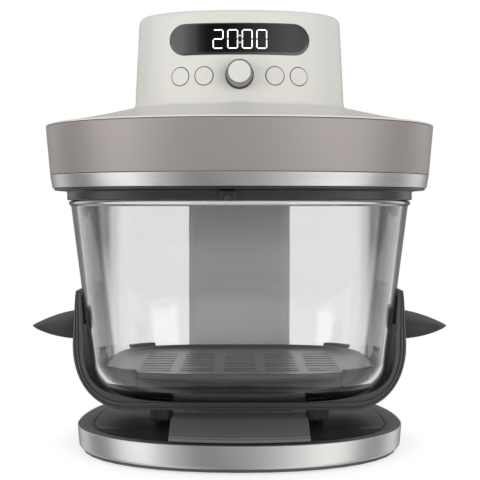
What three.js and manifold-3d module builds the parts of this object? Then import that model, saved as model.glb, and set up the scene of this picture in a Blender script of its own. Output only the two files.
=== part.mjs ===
// Countertop glass air fryer: a glass bowl in a cradle, slid between a round base and a fixed head.
// Millimetres, +Z up, front towards -Y. Heights are above the surface that the rubber feet stand on.
import * as THREE from 'three';
import { mergeVertices } from 'three/addons/utils/BufferGeometryUtils.js';
import Module from 'manifold-3d';

const wasm = await Module();
wasm.setup();

// Clearances and cutting allowances
const gap = 0.3;
const overrun = 2;
const weld = 0.0005;
const outline_steps = 40;
const round_steps = 20;
const small_steps = 12;

// Glass bowl: the outlines of the base and the head follow it
const glass = {
  half: 121.7, front: 113, rear: 113, power: 3.4, height: 136.9, wall: 3.6, base_wall: 5,
  slope: 0.125, corner: 25, inner_corner: 21, corner_steps: 4, bead: 1.2, bead_height: 4,
};

// Base: pan, steel band, dark ring, metal plate and rubber feet
const base = {
  in_side: 3.05, in_front: 10.4, over_rear: 45, power: 2.17,
  band_bottom: 3.4, band_top: 19.1, band_wall: 1, band_draft: 1.2, band_roll: 1.5,
  pan_bottom: 1.2, pan_wall: 2.6, pan_drop: 3.2,
  ring_rise: 1.4, ring_drop: 1.5, ring_lap: 2.9, ledge: 4, rim_side: 13.15, rim_front: 10.6, rim_rear: 46,
  foot_radius: 9, foot_sink: 1.6, foot_side: 44.65, foot_front: 40.6, foot_rear_side: 58.65, foot_rear: 46,
};
base.half = glass.half - base.in_side;
base.front = glass.front - base.in_front;
base.rear = glass.rear + base.over_rear;
base.pan_top = base.band_top - base.pan_drop;
base.ring_top = base.band_top + base.ring_rise;
base.ring_under = base.band_top - base.ring_lap;
const plate = {
  half: base.half - base.rim_side, front: base.front - base.rim_front, rear: base.rear - base.rim_rear,
  power: 2.6, thickness: 2, edge: 0.5,
};

// Cradle: a wide U-shaped strap with thick edges, ear handles, pads and feet
const cradle = {
  half_width: 40, lift: 12, rise: 84.3, seat: 1.51, lean: 1.8, corner_rise: 47.5, corner_reach: 40.6,
  edge: 5.2, floor_edge: 11.2, skin: 2.7, floor_skin: 3, bead: 7, power: 2.2, inner_power: 2.7,
  groove: 1.1, groove_depth: 1.2, groove_share: 0.55, steps: 10, tip_edge: 2.3,
};
cradle.bottom = base.ring_top + cradle.lift;
cradle.top = cradle.bottom + cradle.rise;
cradle.side_z = cradle.bottom + cradle.corner_rise;
const ear = {
  reach: 34.4, root: 6.1, tip_drop: 26.5, top_drop: 13.3, bottom_drop: 33.2, half_width: 36, corner: 16,
};
const pad = { half_width: 24, bottom_drop: 24.8, top_drop: 4.8, depth: 8 };
const cradle_foot = {
  inner_x: 48, width: 15.6, clear: 3.1, in_front: 4.5, length: 13, groove: 1.4, round: 3,
};

// Lift platform under the cradle, and the lever in front of it
const platform = { half: 38, front: 42, rear: 42, drop: 2.8, play: 1.4, wall: 3, corner: 6, rib: 2.4 };
const well = { wall: 2, top_drop: 0.3 };
const lever = {
  half: 47.2, back_half: 43.5, margin: 2.4, back: 46, lip: 2.2, step: 3,
  nose_rise: 0.7, brow: 68, brow_drop: 0.3, pivot_y: -50, pivot_drop: 8.5, heel: 1.6,
  boss: 5, boss_half: 35, throat: 57, corner: 7,
};
lever.pivot_z = base.ring_top - lever.pivot_drop;
const pin = { radius: 2.5, ear: 4, ear_rise: 4, ear_width: 9 };

// Glass bowl in the cradle: its floor and rim, and its outer half width at a height
glass.floor = cradle.bottom + cradle.floor_edge + gap;
glass.rim = glass.floor + glass.height;
const bowlHalf = (z) => glass.half - glass.bead - glass.slope * (glass.rim - z);
cradle.top_half = bowlHalf(cradle.top) + cradle.seat + cradle.tip_edge;
cradle.half = cradle.top_half + cradle.lean;
cradle.flat_half = cradle.half - cradle.corner_reach;

// Crisper plate in the bowl
const crisper = {
  play_side: 4.04, play_front: 4.25, power: 3.2, rise: 13, thickness: 3, rim_rise: 3, rim_width: 3,
  slot_length: 24, slot_width: 4.4, slot_pitch_x: 30, slot_pitch_y: 14,
  margin_side: 16, margin_front: 31,
  clip_side: 14, clip_front: 24.5, clip_half: 6.5, clip_under: 3, clip_over: 2,
};
crisper.top = glass.floor + glass.base_wall + crisper.rise;
crisper.rim = crisper.top + crisper.rim_rise;
crisper.half = bowlHalf(crisper.top) - glass.wall - crisper.play_side;
crisper.front = (bowlHalf(crisper.top) - glass.wall) * glass.front / glass.half - crisper.play_front;

// Head: skirt, gasket, steel trim, taupe collar and white cover, all following the collar's outline
const collar = {
  over_side: 19, over_front: 24, over_rear: 47, flare: 3.1, flare_front: 2.4, flare_rear: 2.6,
  height: 34, wall: 3, power: 2.25,
};
collar.half = glass.half + collar.over_side;
collar.front = glass.front + collar.over_front;
collar.rear = glass.rear + collar.over_rear;
const trim = { taper: 1.7, taper_front: 1, taper_rear: 0.9, height: 9.1, wall: 1.6 };
trim.top_half = collar.half - collar.flare;
trim.top_front = collar.front - collar.flare_front;
trim.top_rear = collar.rear - collar.flare_rear;
trim.half = trim.top_half - trim.taper;
trim.front = trim.top_front - trim.taper_front;
trim.rear = trim.top_rear - trim.taper_rear;
const skirt = {
  over_side: 1.4, over_front: 2.6, over_rear: 37, power: 3.2, wall: 3.5, depth: 6.1, flange: 2.2, lip: 1.2,
  shadow: 1.1, roof_drop: 1.1,
};
skirt.half = glass.half + skirt.over_side;
skirt.front = glass.front + skirt.over_front;
skirt.rear = glass.rear + skirt.over_rear;
skirt.flange_half = trim.half - skirt.shadow;
skirt.flange_front = trim.front - skirt.shadow;
skirt.flange_rear = trim.rear - skirt.shadow;
skirt.bottom = glass.rim + gap;
skirt.shoulder = skirt.bottom + skirt.depth;
skirt.roof = skirt.shoulder - skirt.roof_drop;
skirt.flange_top = skirt.shoulder + skirt.flange;
trim.top = skirt.flange_top + gap + trim.height;
collar.top = trim.top + gap + collar.height;
const mouth = { side: 20.7, front: 18, rear: 18, power: 2.4 };
mouth.half = glass.half - mouth.side;
mouth.front_reach = glass.front - mouth.front;
mouth.rear_reach = glass.rear - mouth.rear;
const gasket = { width: 6, height: 4.4 };
const cover = {
  wall: 3, edge_round: 1.6, edge_straight: 0.6, fillet_steps: 2, top_steps: 3, steps: 44,
  shoulder_half: 82, shoulder_front: 60.6, shoulder_rear: 99, slope_height: 14.4,
  foot_half: 76.8, foot_front: 55.8, foot_rear: 94, fillet: 4,
  top_half: 73.9, top_front: 50.2, top_rear: 90, turret: 63.3, power: 2.15, top_round: 5, crown: 0.6,
};
cover.shoulder_z = collar.top + cover.slope_height;
cover.foot_z = cover.shoulder_z + cover.fillet;
cover.top = cover.foot_z + cover.turret;

// Controls on the front of the cover: their heights are shares of the turret's height
const display = { half: 49.4, height: 22.6, height_share: 0.6682, pocket: 2, thickness: 1.6, flush: 0.1 };
display.centre_z = cover.foot_z + cover.turret * display.height_share;
const knob = {
  lift: 0.5, radius: 9.9, face_radius: 8.8, length: 13.5, height_share: 0.2607, rim: 1.1, rim_depth: 2.4,
  bore_depth: 9,
};
knob.z = cover.foot_z + cover.turret * knob.height_share;
const shaft = { radius: 3, reach: 18.5 };
const button = {
  radius: 6.3, proud: 0.35, stem: 4.4, flange: 1.2, flange_height: 1.4, height_share: 0.2575, clear: 0.4,
};
button.z = cover.foot_z + cover.turret * button.height_share;
const button_inner_x = 24.8;
const button_outer_x = 41.6;
const encoder = { half: 7, depth: 6.5, drop: 1.8 };
const board = {
  half: 30, back: 24.8, thickness: 1.6, foot_gap: 1.4, top_gap: 8.9, boss_radius: 2.4, boss_x: 24,
  boss_low: 4.9, boss_high: 12.9,
};
board.y = -(cover.foot_front - board.back);
board.bottom = cover.foot_z + board.foot_gap;
board.top = cover.top - board.top_gap;

// Hot-air unit inside the head
const pan = { side: 4, wall: 1.2, height: 36.5, draw: 7, flange: 8, bore: 6 };
pan.half = mouth.half - pan.side;
pan.roof_half = pan.half - pan.draw;
pan.roof = skirt.flange_top + pan.height;
const guard = { clear: 0.4, wire: 2.2, thickness: 2, rings: 4, spokes: 6, hub: 14, steps: 24, drop: 0.1 };
guard.half = mouth.half - guard.clear;
guard.z = skirt.flange_top - guard.drop;
const coil = {
  in_side: 7, in_mouth: 12, band: 22, tube: 3, turns: 3, rise: 7, bend: 9, steps: 20, sides: 6,
  riser_steps: 6,
};
coil.z = skirt.flange_top + coil.rise;
coil.outer = Math.min(
  pan.roof_half - coil.in_side, mouth.front_reach - coil.in_mouth, mouth.rear_reach - coil.in_mouth,
);
coil.inner = coil.outer - coil.band;
const fan = {
  clear: 2, rise: 14.5, blade_height: 14, blade: 1.6, blades: 9, hub: 11, disc: 1.8, sweep_deg: 28,
  sweep_share: 0.12, root_share: 0.3,
};
fan.bottom = skirt.flange_top + fan.rise;
fan.radius = coil.inner - coil.tube - fan.clear;
const spindle = { radius: 4, into: 20 };
const bracket = { radius: 62, thickness: 2, leg: 8, leg_ring: 54, legs: 4, bore: 7, rise: 14.3 };
const motor = { radius: 28, height: 33.4, cap_radius: 13, cap: 3 };
motor.bottom = pan.roof + bracket.rise + gap;
motor.top = motor.bottom + motor.height;
const cooler = {
  radius: 42, rise: 3.5, height: 6, blade: 1.4, blades: 8, hub: 9, disc: 1.4, sweep_deg: 28,
  sweep_share: 0.12, root_share: 0.3,
};
cooler.bottom = pan.roof + cooler.rise;

// Interlock on the skirt, left of the middle
const interlock = {
  x: -7.7, half: 5.4, depth: 3.2, finger_half: 2.4, finger_depth: 1.4, travel: 1.8, roof: 0.8,
};

// Rear column between base and head
const column = {
  half: 43, behind: 5, depth: 28, corner: 10, wall: 2.5, split: 10,
  post_half: 25, post_front: 5, post_depth: 10, post_wall: 2,
  vent_count: 7, vent_height: 3, vent_pitch: 8, vent_half: 22, vent_drop: 84.9,
};
column.front = glass.rear + column.behind;
column.rear = column.front + column.depth;
const gland = { radius: 6.5, bore: 3.4, length: 12, flange: 9, flange_length: 2.4, rise: 21.5 };

const colours = {
  stone: 0xdedcd6, taupe: 0x9c9591, steel: 0xbdbcba, dark: 0x3c3e3d, ring: 0x464645, bronze: 0x554e4a,
  rubber: 0x242424, glass: 0xe8f0f0, screen: 0x101112, grey: 0x7d7f80, aluminium: 0xb5b7b8, heater: 0x6a6662,
  green: 0x2f5a3c, silicone: 0x2c2d2e,
};

function finish(colour, roughness, metalness = 0) {
  return new THREE.MeshStandardMaterial({ color: colour, roughness, metalness });
}

// Signed power, for the superellipse outlines that the whole product is drawn with
function signedPower(value, exponent) {
  return Math.sign(value) * Math.abs(value) ** exponent;
}

// Turns a three.js geometry into a closed solid with welded corners and its faces pointing out
function solid(geometry) {
  const bare = new THREE.BufferGeometry();
  bare.setAttribute('position', geometry.getAttribute('position').clone());
  if (geometry.index) bare.setIndex(geometry.index.clone());
  const merged = mergeVertices(bare, weld);
  const places = merged.getAttribute('position');
  const corners = merged.index.array;
  const kept = [];
  let volume = 0;
  for (let i = 0; i < corners.length; i += 3) {
    const [a, b, c] = [corners[i], corners[i + 1], corners[i + 2]];
    if (a === b || b === c || c === a) continue;
    const [p, q, r] = [a, b, c].map((k) => new THREE.Vector3().fromBufferAttribute(places, k));
    volume += p.dot(q.cross(r));
    kept.push(a, b, c);
  }
  if (volume < 0) {
    for (let i = 0; i < kept.length; i += 3) [kept[i], kept[i + 1]] = [kept[i + 1], kept[i]];
  }
  const vertProperties = new Float32Array(places.array);
  return new wasm.Manifold(new wasm.Mesh({ numProp: 3, vertProperties, triVerts: new Uint32Array(kept) }));
}

// A section of a loft: half width, reach to the front and to the rear, superellipse power, height
function section(half, front, rear, power, z) {
  return { half, front, rear, power, z };
}

// Joins sections one after the other: a turned profile whose circle is drawn out to a superellipse.
// A profile that does not start and end on the axis closes onto its first section.
function loft(sections, steps = outline_steps) {
  const onAxis = sections[0].half === 0;
  const all = onAxis ? sections : [...sections, sections[0]];
  const profile = all.map((s) => new THREE.Vector2(s.half, s.z));
  const turned = new THREE.LatheGeometry(profile, steps);
  const places = turned.getAttribute('position');
  for (let i = 0; i <= steps; i += 1) {
    const angle = 2 * Math.PI * (i % steps) / steps;
    all.forEach((s, j) => {
      const x = s.half * signedPower(Math.cos(angle), 2 / s.power);
      const reach = Math.sin(angle) < 0 ? s.front : s.rear;
      const y = reach * signedPower(Math.sin(angle), 2 / s.power);
      places.setXYZ(i * all.length + j, x, y, s.z);
    });
  }
  return solid(turned);
}

// A straight-walled solid with a superellipse outline
function slab(half, front, rear, power, bottom, top, steps = outline_steps) {
  return loft([
    section(0, 0, 0, power, bottom), section(half, front, rear, power, bottom),
    section(half, front, rear, power, top), section(0, 0, 0, power, top),
  ], steps);
}

function block(x0, x1, y0, y1, z0, z1) {
  const box = new THREE.BoxGeometry(x1 - x0, y1 - y0, z1 - z0);
  box.translate((x0 + x1) / 2, (y0 + y1) / 2, (z0 + z1) / 2);
  return solid(box);
}

// An upright round bar or cone
function rod(x, y, z0, z1, radius, steps = round_steps, top_radius = radius) {
  const bar = new THREE.CylinderGeometry(top_radius, radius, z1 - z0, steps);
  bar.rotateX(Math.PI / 2);
  bar.translate(x, y, (z0 + z1) / 2);
  return solid(bar);
}

// A shape drawn in X and Y, pulled up from one height to another
function prism(shape, z0, z1, curveSegments = 6) {
  const body = new THREE.ExtrudeGeometry(shape, { depth: z1 - z0, bevelEnabled: false, curveSegments });
  body.translate(0, 0, z0);
  return solid(body);
}

// A shape drawn in X and Z, carried from one Y to another
function prismY(shape, y0, y1, curveSegments = 6) {
  const body = new THREE.ExtrudeGeometry(shape, { depth: y1 - y0, bevelEnabled: false, curveSegments });
  body.rotateX(Math.PI / 2);
  body.translate(0, y1, 0);
  return solid(body);
}

// A shape drawn in Y and Z, carried from one X to another
function prismX(shape, x0, x1, curveSegments = 6) {
  const body = new THREE.ExtrudeGeometry(shape, { depth: x1 - x0, bevelEnabled: false, curveSegments });
  const axes = new THREE.Matrix4().makeBasis(
    new THREE.Vector3(0, 1, 0), new THREE.Vector3(0, 0, 1), new THREE.Vector3(1, 0, 0));
  body.applyMatrix4(axes);
  body.translate(x0, 0, 0);
  return solid(body);
}

function roundedRectangle(x0, x1, y0, y1, radius) {
  const shape = new THREE.Shape();
  shape.moveTo(x0 + radius, y0);
  shape.lineTo(x1 - radius, y0);
  shape.absarc(x1 - radius, y0 + radius, radius, -Math.PI / 2, 0);
  shape.lineTo(x1, y1 - radius);
  shape.absarc(x1 - radius, y1 - radius, radius, 0, Math.PI / 2);
  shape.lineTo(x0 + radius, y1);
  shape.absarc(x0 + radius, y1 - radius, radius, Math.PI / 2, Math.PI);
  shape.lineTo(x0, y0 + radius);
  shape.absarc(x0 + radius, y0 + radius, radius, Math.PI, 1.5 * Math.PI);
  return shape;
}

function outline(points) {
  return new THREE.Shape(points.map(([x, y]) => new THREE.Vector2(x, y)));
}

const group = new THREE.Group();

// Adds a finished solid as a named mesh, in a given holder
function add(name, body, material, holder = group) {
  const { vertProperties, triVerts } = body.getMesh();
  const geometry = new THREE.BufferGeometry();
  geometry.setAttribute('position', new THREE.BufferAttribute(new Float32Array(vertProperties), 3));
  geometry.setIndex(new THREE.BufferAttribute(new Uint32Array(triVerts), 1));
  geometry.computeVertexNormals();
  const mesh = new THREE.Mesh(geometry, material);
  mesh.name = name;
  holder.add(mesh);
  return mesh;
}

// The base's outline, drawn in by a given amount at the side, with its front and rear in proportion
function baseSection(inset, z) {
  const share = (base.half - inset) / base.half;
  return section(base.half * share, base.front * share, base.rear * share, base.power, z);
}

function makeBase() {
  const steel = finish(colours.steel, 0.32, 1);
  const { band_bottom, band_top, band_wall, band_draft, band_roll } = base;
  const band = loft([
    baseSection(band_draft + band_roll, band_bottom), baseSection(band_draft, band_bottom + band_roll),
    baseSection(0, band_top), baseSection(band_wall, band_top),
    baseSection(band_draft + band_wall, band_bottom + band_roll),
    baseSection(band_draft + band_roll + band_wall, band_bottom + band_wall / 2),
  ]);
  add('base_band', band, steel);

  const inside = band_draft + band_roll + band_wall + gap;
  const panOuter = loft([
    baseSection(base.half, base.pan_bottom), baseSection(inside, base.pan_bottom),
    baseSection(inside, base.pan_top), baseSection(base.half, base.pan_top),
  ]);
  const floor = base.pan_bottom + base.pan_wall;
  const panInner = loft([
    baseSection(base.half, floor), baseSection(inside + base.pan_wall, floor),
    baseSection(inside + base.pan_wall, base.pan_top + overrun),
    baseSection(base.half, base.pan_top + overrun),
  ]);
  const wellTop = base.pan_top - well.top_drop;
  const wellX = platform.half + gap;
  const wellFront = platform.front + gap;
  const wellRear = platform.rear + gap;
  const wellOuter = block(-wellX - well.wall, wellX + well.wall, -wellFront - well.wall, wellRear + well.wall,
    floor - base.pan_wall / 2, wellTop);
  const wellInner = block(-wellX, wellX, -wellFront, wellRear, floor, wellTop + overrun);
  let basePan = panOuter.subtract(panInner).add(wellOuter).subtract(wellInner);
  const earTop = lever.pivot_z + pin.ear_rise;
  for (const side of [-1, 1]) {
    const near = side * (lever.boss_half + gap);
    const far = side * (lever.boss_half + gap + pin.ear);
    const [x0, x1] = [Math.min(near, far), Math.max(near, far)];
    const y0 = lever.pivot_y - pin.ear_width / 2;
    basePan = basePan.add(block(x0, x1, y0, y0 + pin.ear_width, floor - base.pan_wall / 2, earTop));
  }
  basePan = basePan.subtract(pinBar(pin.radius + gap, lever.boss_half + gap + pin.ear + overrun));
  const [frontX, frontY] = [base.half - base.foot_side, base.front - base.foot_front];
  const [rearX, rearY] = [base.half - base.foot_rear_side, base.rear - base.foot_rear];
  const feet = [
    ['foot_front_left', -frontX, -frontY], ['foot_front_right', frontX, -frontY],
    ['foot_rear_left', -rearX, rearY], ['foot_rear_right', rearX, rearY],
  ];
  const rubber = finish(colours.rubber, 0.9);
  for (const [name, x, y] of feet) {
    const top = base.pan_bottom + base.foot_sink;
    basePan = basePan.subtract(rod(x, y, 0, top, base.foot_radius + gap));
    add(name, rod(x, y, 0, top - gap, base.foot_radius), rubber);
  }
  add('base_pan', basePan, finish(colours.dark, 0.6));

  const plateSection = (grow, z) => {
    const share = (plate.half + grow) / plate.half;
    return section(plate.half * share, plate.front * share, plate.rear * share, plate.power, z);
  };
  const plateUnder = base.ring_top - plate.thickness;
  const inner = band_wall + gap;
  let ring = loft([
    baseSection(base.half, base.ring_under), baseSection(inner + band_draft, base.ring_under),
    baseSection(inner, base.ring_top - base.ring_drop),
    baseSection(inner + base.ring_drop, base.ring_top - base.ring_drop / 2),
    baseSection(base.half - plate.half, base.ring_top), baseSection(base.half, base.ring_top),
  ]);
  const opening = loft([
    plateSection(-plate.half, plateUnder - gap), plateSection(gap, plateUnder - gap),
    plateSection(gap, base.ring_top + overrun), plateSection(-plate.half, base.ring_top + overrun),
  ]);
  const ledgeHole = loft([
    plateSection(-plate.half, base.ring_under - overrun),
    plateSection(-base.ledge, base.ring_under - overrun),
    plateSection(-base.ledge, plateUnder), plateSection(-plate.half, plateUnder),
  ]);
  ring = ring.subtract(opening).subtract(ledgeHole);
  add('base_ring', ring, finish(colours.ring, 0.55));

  const slotX = Math.max(platform.half, lever.boss_half) + 2 * gap;
  const slot = block(-slotX, slotX, -lever.throat - gap, platform.rear + gap, plateUnder - overrun,
    base.ring_top + overrun);
  const metalPlate = loft([
    plateSection(-plate.half, plateUnder), plateSection(0, plateUnder),
    plateSection(0, base.ring_top - plate.edge),
    plateSection(-plate.edge, base.ring_top), plateSection(-plate.half, base.ring_top),
  ]).subtract(slot);
  add('base_plate', metalPlate, finish(colours.bronze, 0.35, 0.9));
}

// A bar along X through the lever's pivot
function pinBar(radius, half) {
  const bar = new THREE.CylinderGeometry(radius, radius, 2 * half, round_steps);
  bar.rotateZ(Math.PI / 2);
  bar.translate(0, lever.pivot_y, lever.pivot_z);
  return solid(bar);
}

// The platform is a hollow box with a rounded top and cross ribs; it slides down in its well
function makePlatform() {
  const top = cradle.bottom - gap;
  const { half, front, rear, drop, play, wall, corner, rib } = platform;
  const bottom = base.pan_bottom + base.pan_wall + drop + play;
  const body = prism(roundedRectangle(-half, half, -front, rear, corner), bottom, top, 3);
  let hollow = prism(roundedRectangle(-half + wall, half - wall, -front + wall, rear - wall, corner - wall),
    bottom - overrun, top - wall, 3);
  for (const share of [-1 / 3, 1 / 3]) {
    const x = share * half;
    hollow = hollow.subtract(block(x - rib / 2, x + rib / 2, -front, rear, bottom, top));
  }
  add('lift_platform', body.subtract(hollow), finish(colours.dark, 0.6));
}

// The lever: a lip over the front edge, a face that slopes up, a flat top and a pivot boss below the plate
function makeLever() {
  const top = cradle.bottom - gap;
  const front = base.front * (base.half - lever.margin) / base.half;
  const under = base.ring_top + gap;
  const lipTop = under + lever.lip;
  const side = outline([
    [-front, under], [-lever.throat, under],
    [lever.pivot_y - lever.boss, lever.pivot_z], [lever.pivot_y + lever.boss, lever.pivot_z],
    [-lever.back, top - lever.boss], [-lever.back, top - lever.brow_drop],
    [-lever.back - lever.brow_drop, top],
    [-lever.brow + lever.corner, top], [-lever.brow, top - lever.brow_drop],
    [-front + lever.step, lipTop + lever.nose_rise], [-front + lever.step, lipTop], [-front, lipTop],
  ]);
  const whole = prismX(side, -lever.half, lever.half);
  const plan = new THREE.Shape();
  plan.moveTo(-lever.half, -front - overrun);
  plan.lineTo(lever.half, -front - overrun);
  plan.lineTo(lever.half, -lever.brow - lever.corner);
  plan.quadraticCurveTo(lever.half, -lever.brow, lever.back_half, -lever.back + overrun);
  plan.lineTo(-lever.back_half, -lever.back + overrun);
  plan.quadraticCurveTo(-lever.half, -lever.brow, -lever.half, -lever.brow - lever.corner);
  const edge = loft([baseSection(base.half, 0), baseSection(lever.margin, 0),
    baseSection(lever.margin, top + overrun), baseSection(base.half, top + overrun)]);
  const shaped = whole.intersect(prism(plan, 0, top + overrun, 5)).intersect(edge);
  const boss = pinBar(lever.boss, lever.boss_half);
  const belowPlate = [-1, 1].map((s) => block(
    Math.min(s * lever.boss_half, s * lever.half * 2), Math.max(s * lever.boss_half, s * lever.half * 2),
    -lever.throat, -lever.back + overrun, 0, under + lever.heel));
  let body = shaped.subtract(belowPlate[0]).subtract(belowPlate[1]);
  body = body.add(boss).subtract(pinBar(pin.radius + gap, lever.half));
  add('lever', body, finish(colours.dark, 0.6));
  add('lever_pin', pinBar(pin.radius, lever.boss_half + gap + pin.ear), finish(colours.steel, 0.3, 1));
}

// The column: a front shell, a rear cover with vents, a folded metal post inside and the cord's gland
function makeColumn() {
  const bottom = base.ring_top + gap;
  const top = skirt.bottom - gap;
  const { half, front, rear, corner, wall } = column;
  const split = rear - column.split;
  const vent_bottom = top - column.vent_drop;
  const glandZ = base.ring_top + gland.rise;
  const outer = prism(roundedRectangle(-half, half, front, rear, corner), bottom, top, 4);
  const inner = prism(roundedRectangle(-half + wall, half - wall, front + wall, rear - wall, corner - wall),
    bottom - overrun, top + overrun, 4);
  const shell = outer.subtract(inner);
  const wide = half + overrun;
  const frontHalf = block(-wide, wide, front - overrun, split, bottom - overrun, top + overrun);
  const rearHalf = block(-wide, wide, split + gap, rear + overrun, bottom - overrun, top + overrun);
  add('column_front', shell.intersect(frontHalf), finish(colours.grey, 0.5));
  let back = shell.intersect(rearHalf);
  for (let i = 0; i < column.vent_count; i += 1) {
    const z = vent_bottom + i * column.vent_pitch;
    back = back.subtract(block(-column.vent_half, column.vent_half, rear - 2 * wall, rear + overrun, z,
      z + column.vent_height));
  }
  const hole = new THREE.CylinderGeometry(gland.radius + gap, gland.radius + gap, 4 * wall, round_steps);
  hole.translate(0, rear, glandZ);
  add('column_rear', back.subtract(solid(hole)), finish(colours.dark, 0.6));

  const { post_half, post_wall } = column;
  const post_front = front + column.post_front;
  const post_rear = post_front + column.post_depth;
  const post = block(-post_half, post_half, post_front, post_rear, bottom, top);
  const channel = block(-post_half + post_wall, post_half - post_wall, post_front + post_wall,
    post_rear + overrun, bottom - overrun, top + overrun);
  add('column_post', post.subtract(channel), finish(colours.steel, 0.4, 1));

  const stemLength = gland.length + gland.flange_length / 2;
  const stem = new THREE.CylinderGeometry(gland.radius, gland.radius, stemLength, round_steps);
  stem.translate(0, rear + gap + gland.flange_length / 2 - stemLength / 2, glandZ);
  const flange = new THREE.CylinderGeometry(gland.flange, gland.flange, gland.flange_length, round_steps);
  flange.translate(0, rear + gap + gland.flange_length / 2, glandZ);
  const bore = new THREE.CylinderGeometry(gland.bore, gland.bore, 3 * gland.length, small_steps);
  bore.translate(0, rear, glandZ);
  add('cord_gland', solid(stem).add(solid(flange)).subtract(solid(bore)), finish(colours.rubber, 0.8));
}

// The glass bowl's outline, drawn in by a given amount at the side
function glassSection(inset, z) {
  const share = (glass.half - inset) / glass.half;
  return section(glass.half * share, glass.front * share, glass.rear * share, glass.power, z);
}

// Profile of the bowl, or of a body that lies a distance inside it: floor, round corner and sloping wall
function bowlProfile(inset, floorZ, corner, topZ) {
  const wallInset = (z) => glass.half - bowlHalf(z) + inset;
  const start = floorZ + corner;
  const profile = [glassSection(glass.half, floorZ)];
  for (let i = 0; i < glass.corner_steps; i += 1) {
    const turn = Math.PI / 2 * i / glass.corner_steps;
    profile.push(glassSection(wallInset(start) + corner * (1 - Math.sin(turn)),
      start - corner * Math.cos(turn)));
  }
  profile.push(glassSection(wallInset(start), start), glassSection(wallInset(topZ), topZ));
  return profile;
}

function makeBowl() {
  const beadZ = glass.rim - glass.bead_height;
  const outside = bowlProfile(0, glass.floor, glass.corner, beadZ);
  const inside = bowlProfile(glass.wall, glass.floor + glass.base_wall, glass.inner_corner,
    glass.rim).reverse();
  const rim = [glassSection(0, beadZ + glass.bead), glassSection(0, glass.rim - glass.bead),
    glassSection(glass.bead, glass.rim)];
  const bowl = loft([...outside, ...rim, ...inside]);
  const material = finish(colours.glass, 0.05);
  material.transparent = true;
  material.opacity = 0.35;
  add('glass_bowl', bowl, material);
}

// The bowl's outside, grown by a given amount, to cut what holds it
function bowlBody(grow) {
  const outside = bowlProfile(-grow, glass.floor - grow, glass.corner, glass.rim + overrun);
  return loft([...outside, glassSection(glass.half, glass.rim + overrun)], outline_steps);
}

// The cradle's line from the middle of the floor out and up to the arm's tip, drawn in by an edge width
function strapLine(edge, floorEdge, tipEdge, power) {
  const half = cradle.half - edge;
  const bottom = cradle.bottom + floorEdge;
  const points = [];
  for (let i = 0; i <= cradle.steps; i += 1) {
    const turn = Math.PI / 2 * i / cradle.steps;
    const x = cradle.flat_half + (half - cradle.flat_half) * Math.sin(turn) ** (2 / power);
    const z = cradle.side_z - (cradle.side_z - bottom) * Math.cos(turn) ** (2 / power);
    points.push([x, z]);
  }
  points.push([cradle.top_half - tipEdge, cradle.top]);
  return points;
}

// The region above a strap line, between its two arms
function strapRegion(edge, floorEdge, tipEdge, power, halfWidth) {
  const right = strapLine(edge, floorEdge, tipEdge, power);
  const left = right.map(([x, z]) => [-x, z]).reverse();
  const lid = cradle.top + overrun;
  const last = right[right.length - 1];
  return prismY(outline([...left, ...right, [last[0], lid], [-last[0], lid]]), -halfWidth, halfWidth);
}

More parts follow.
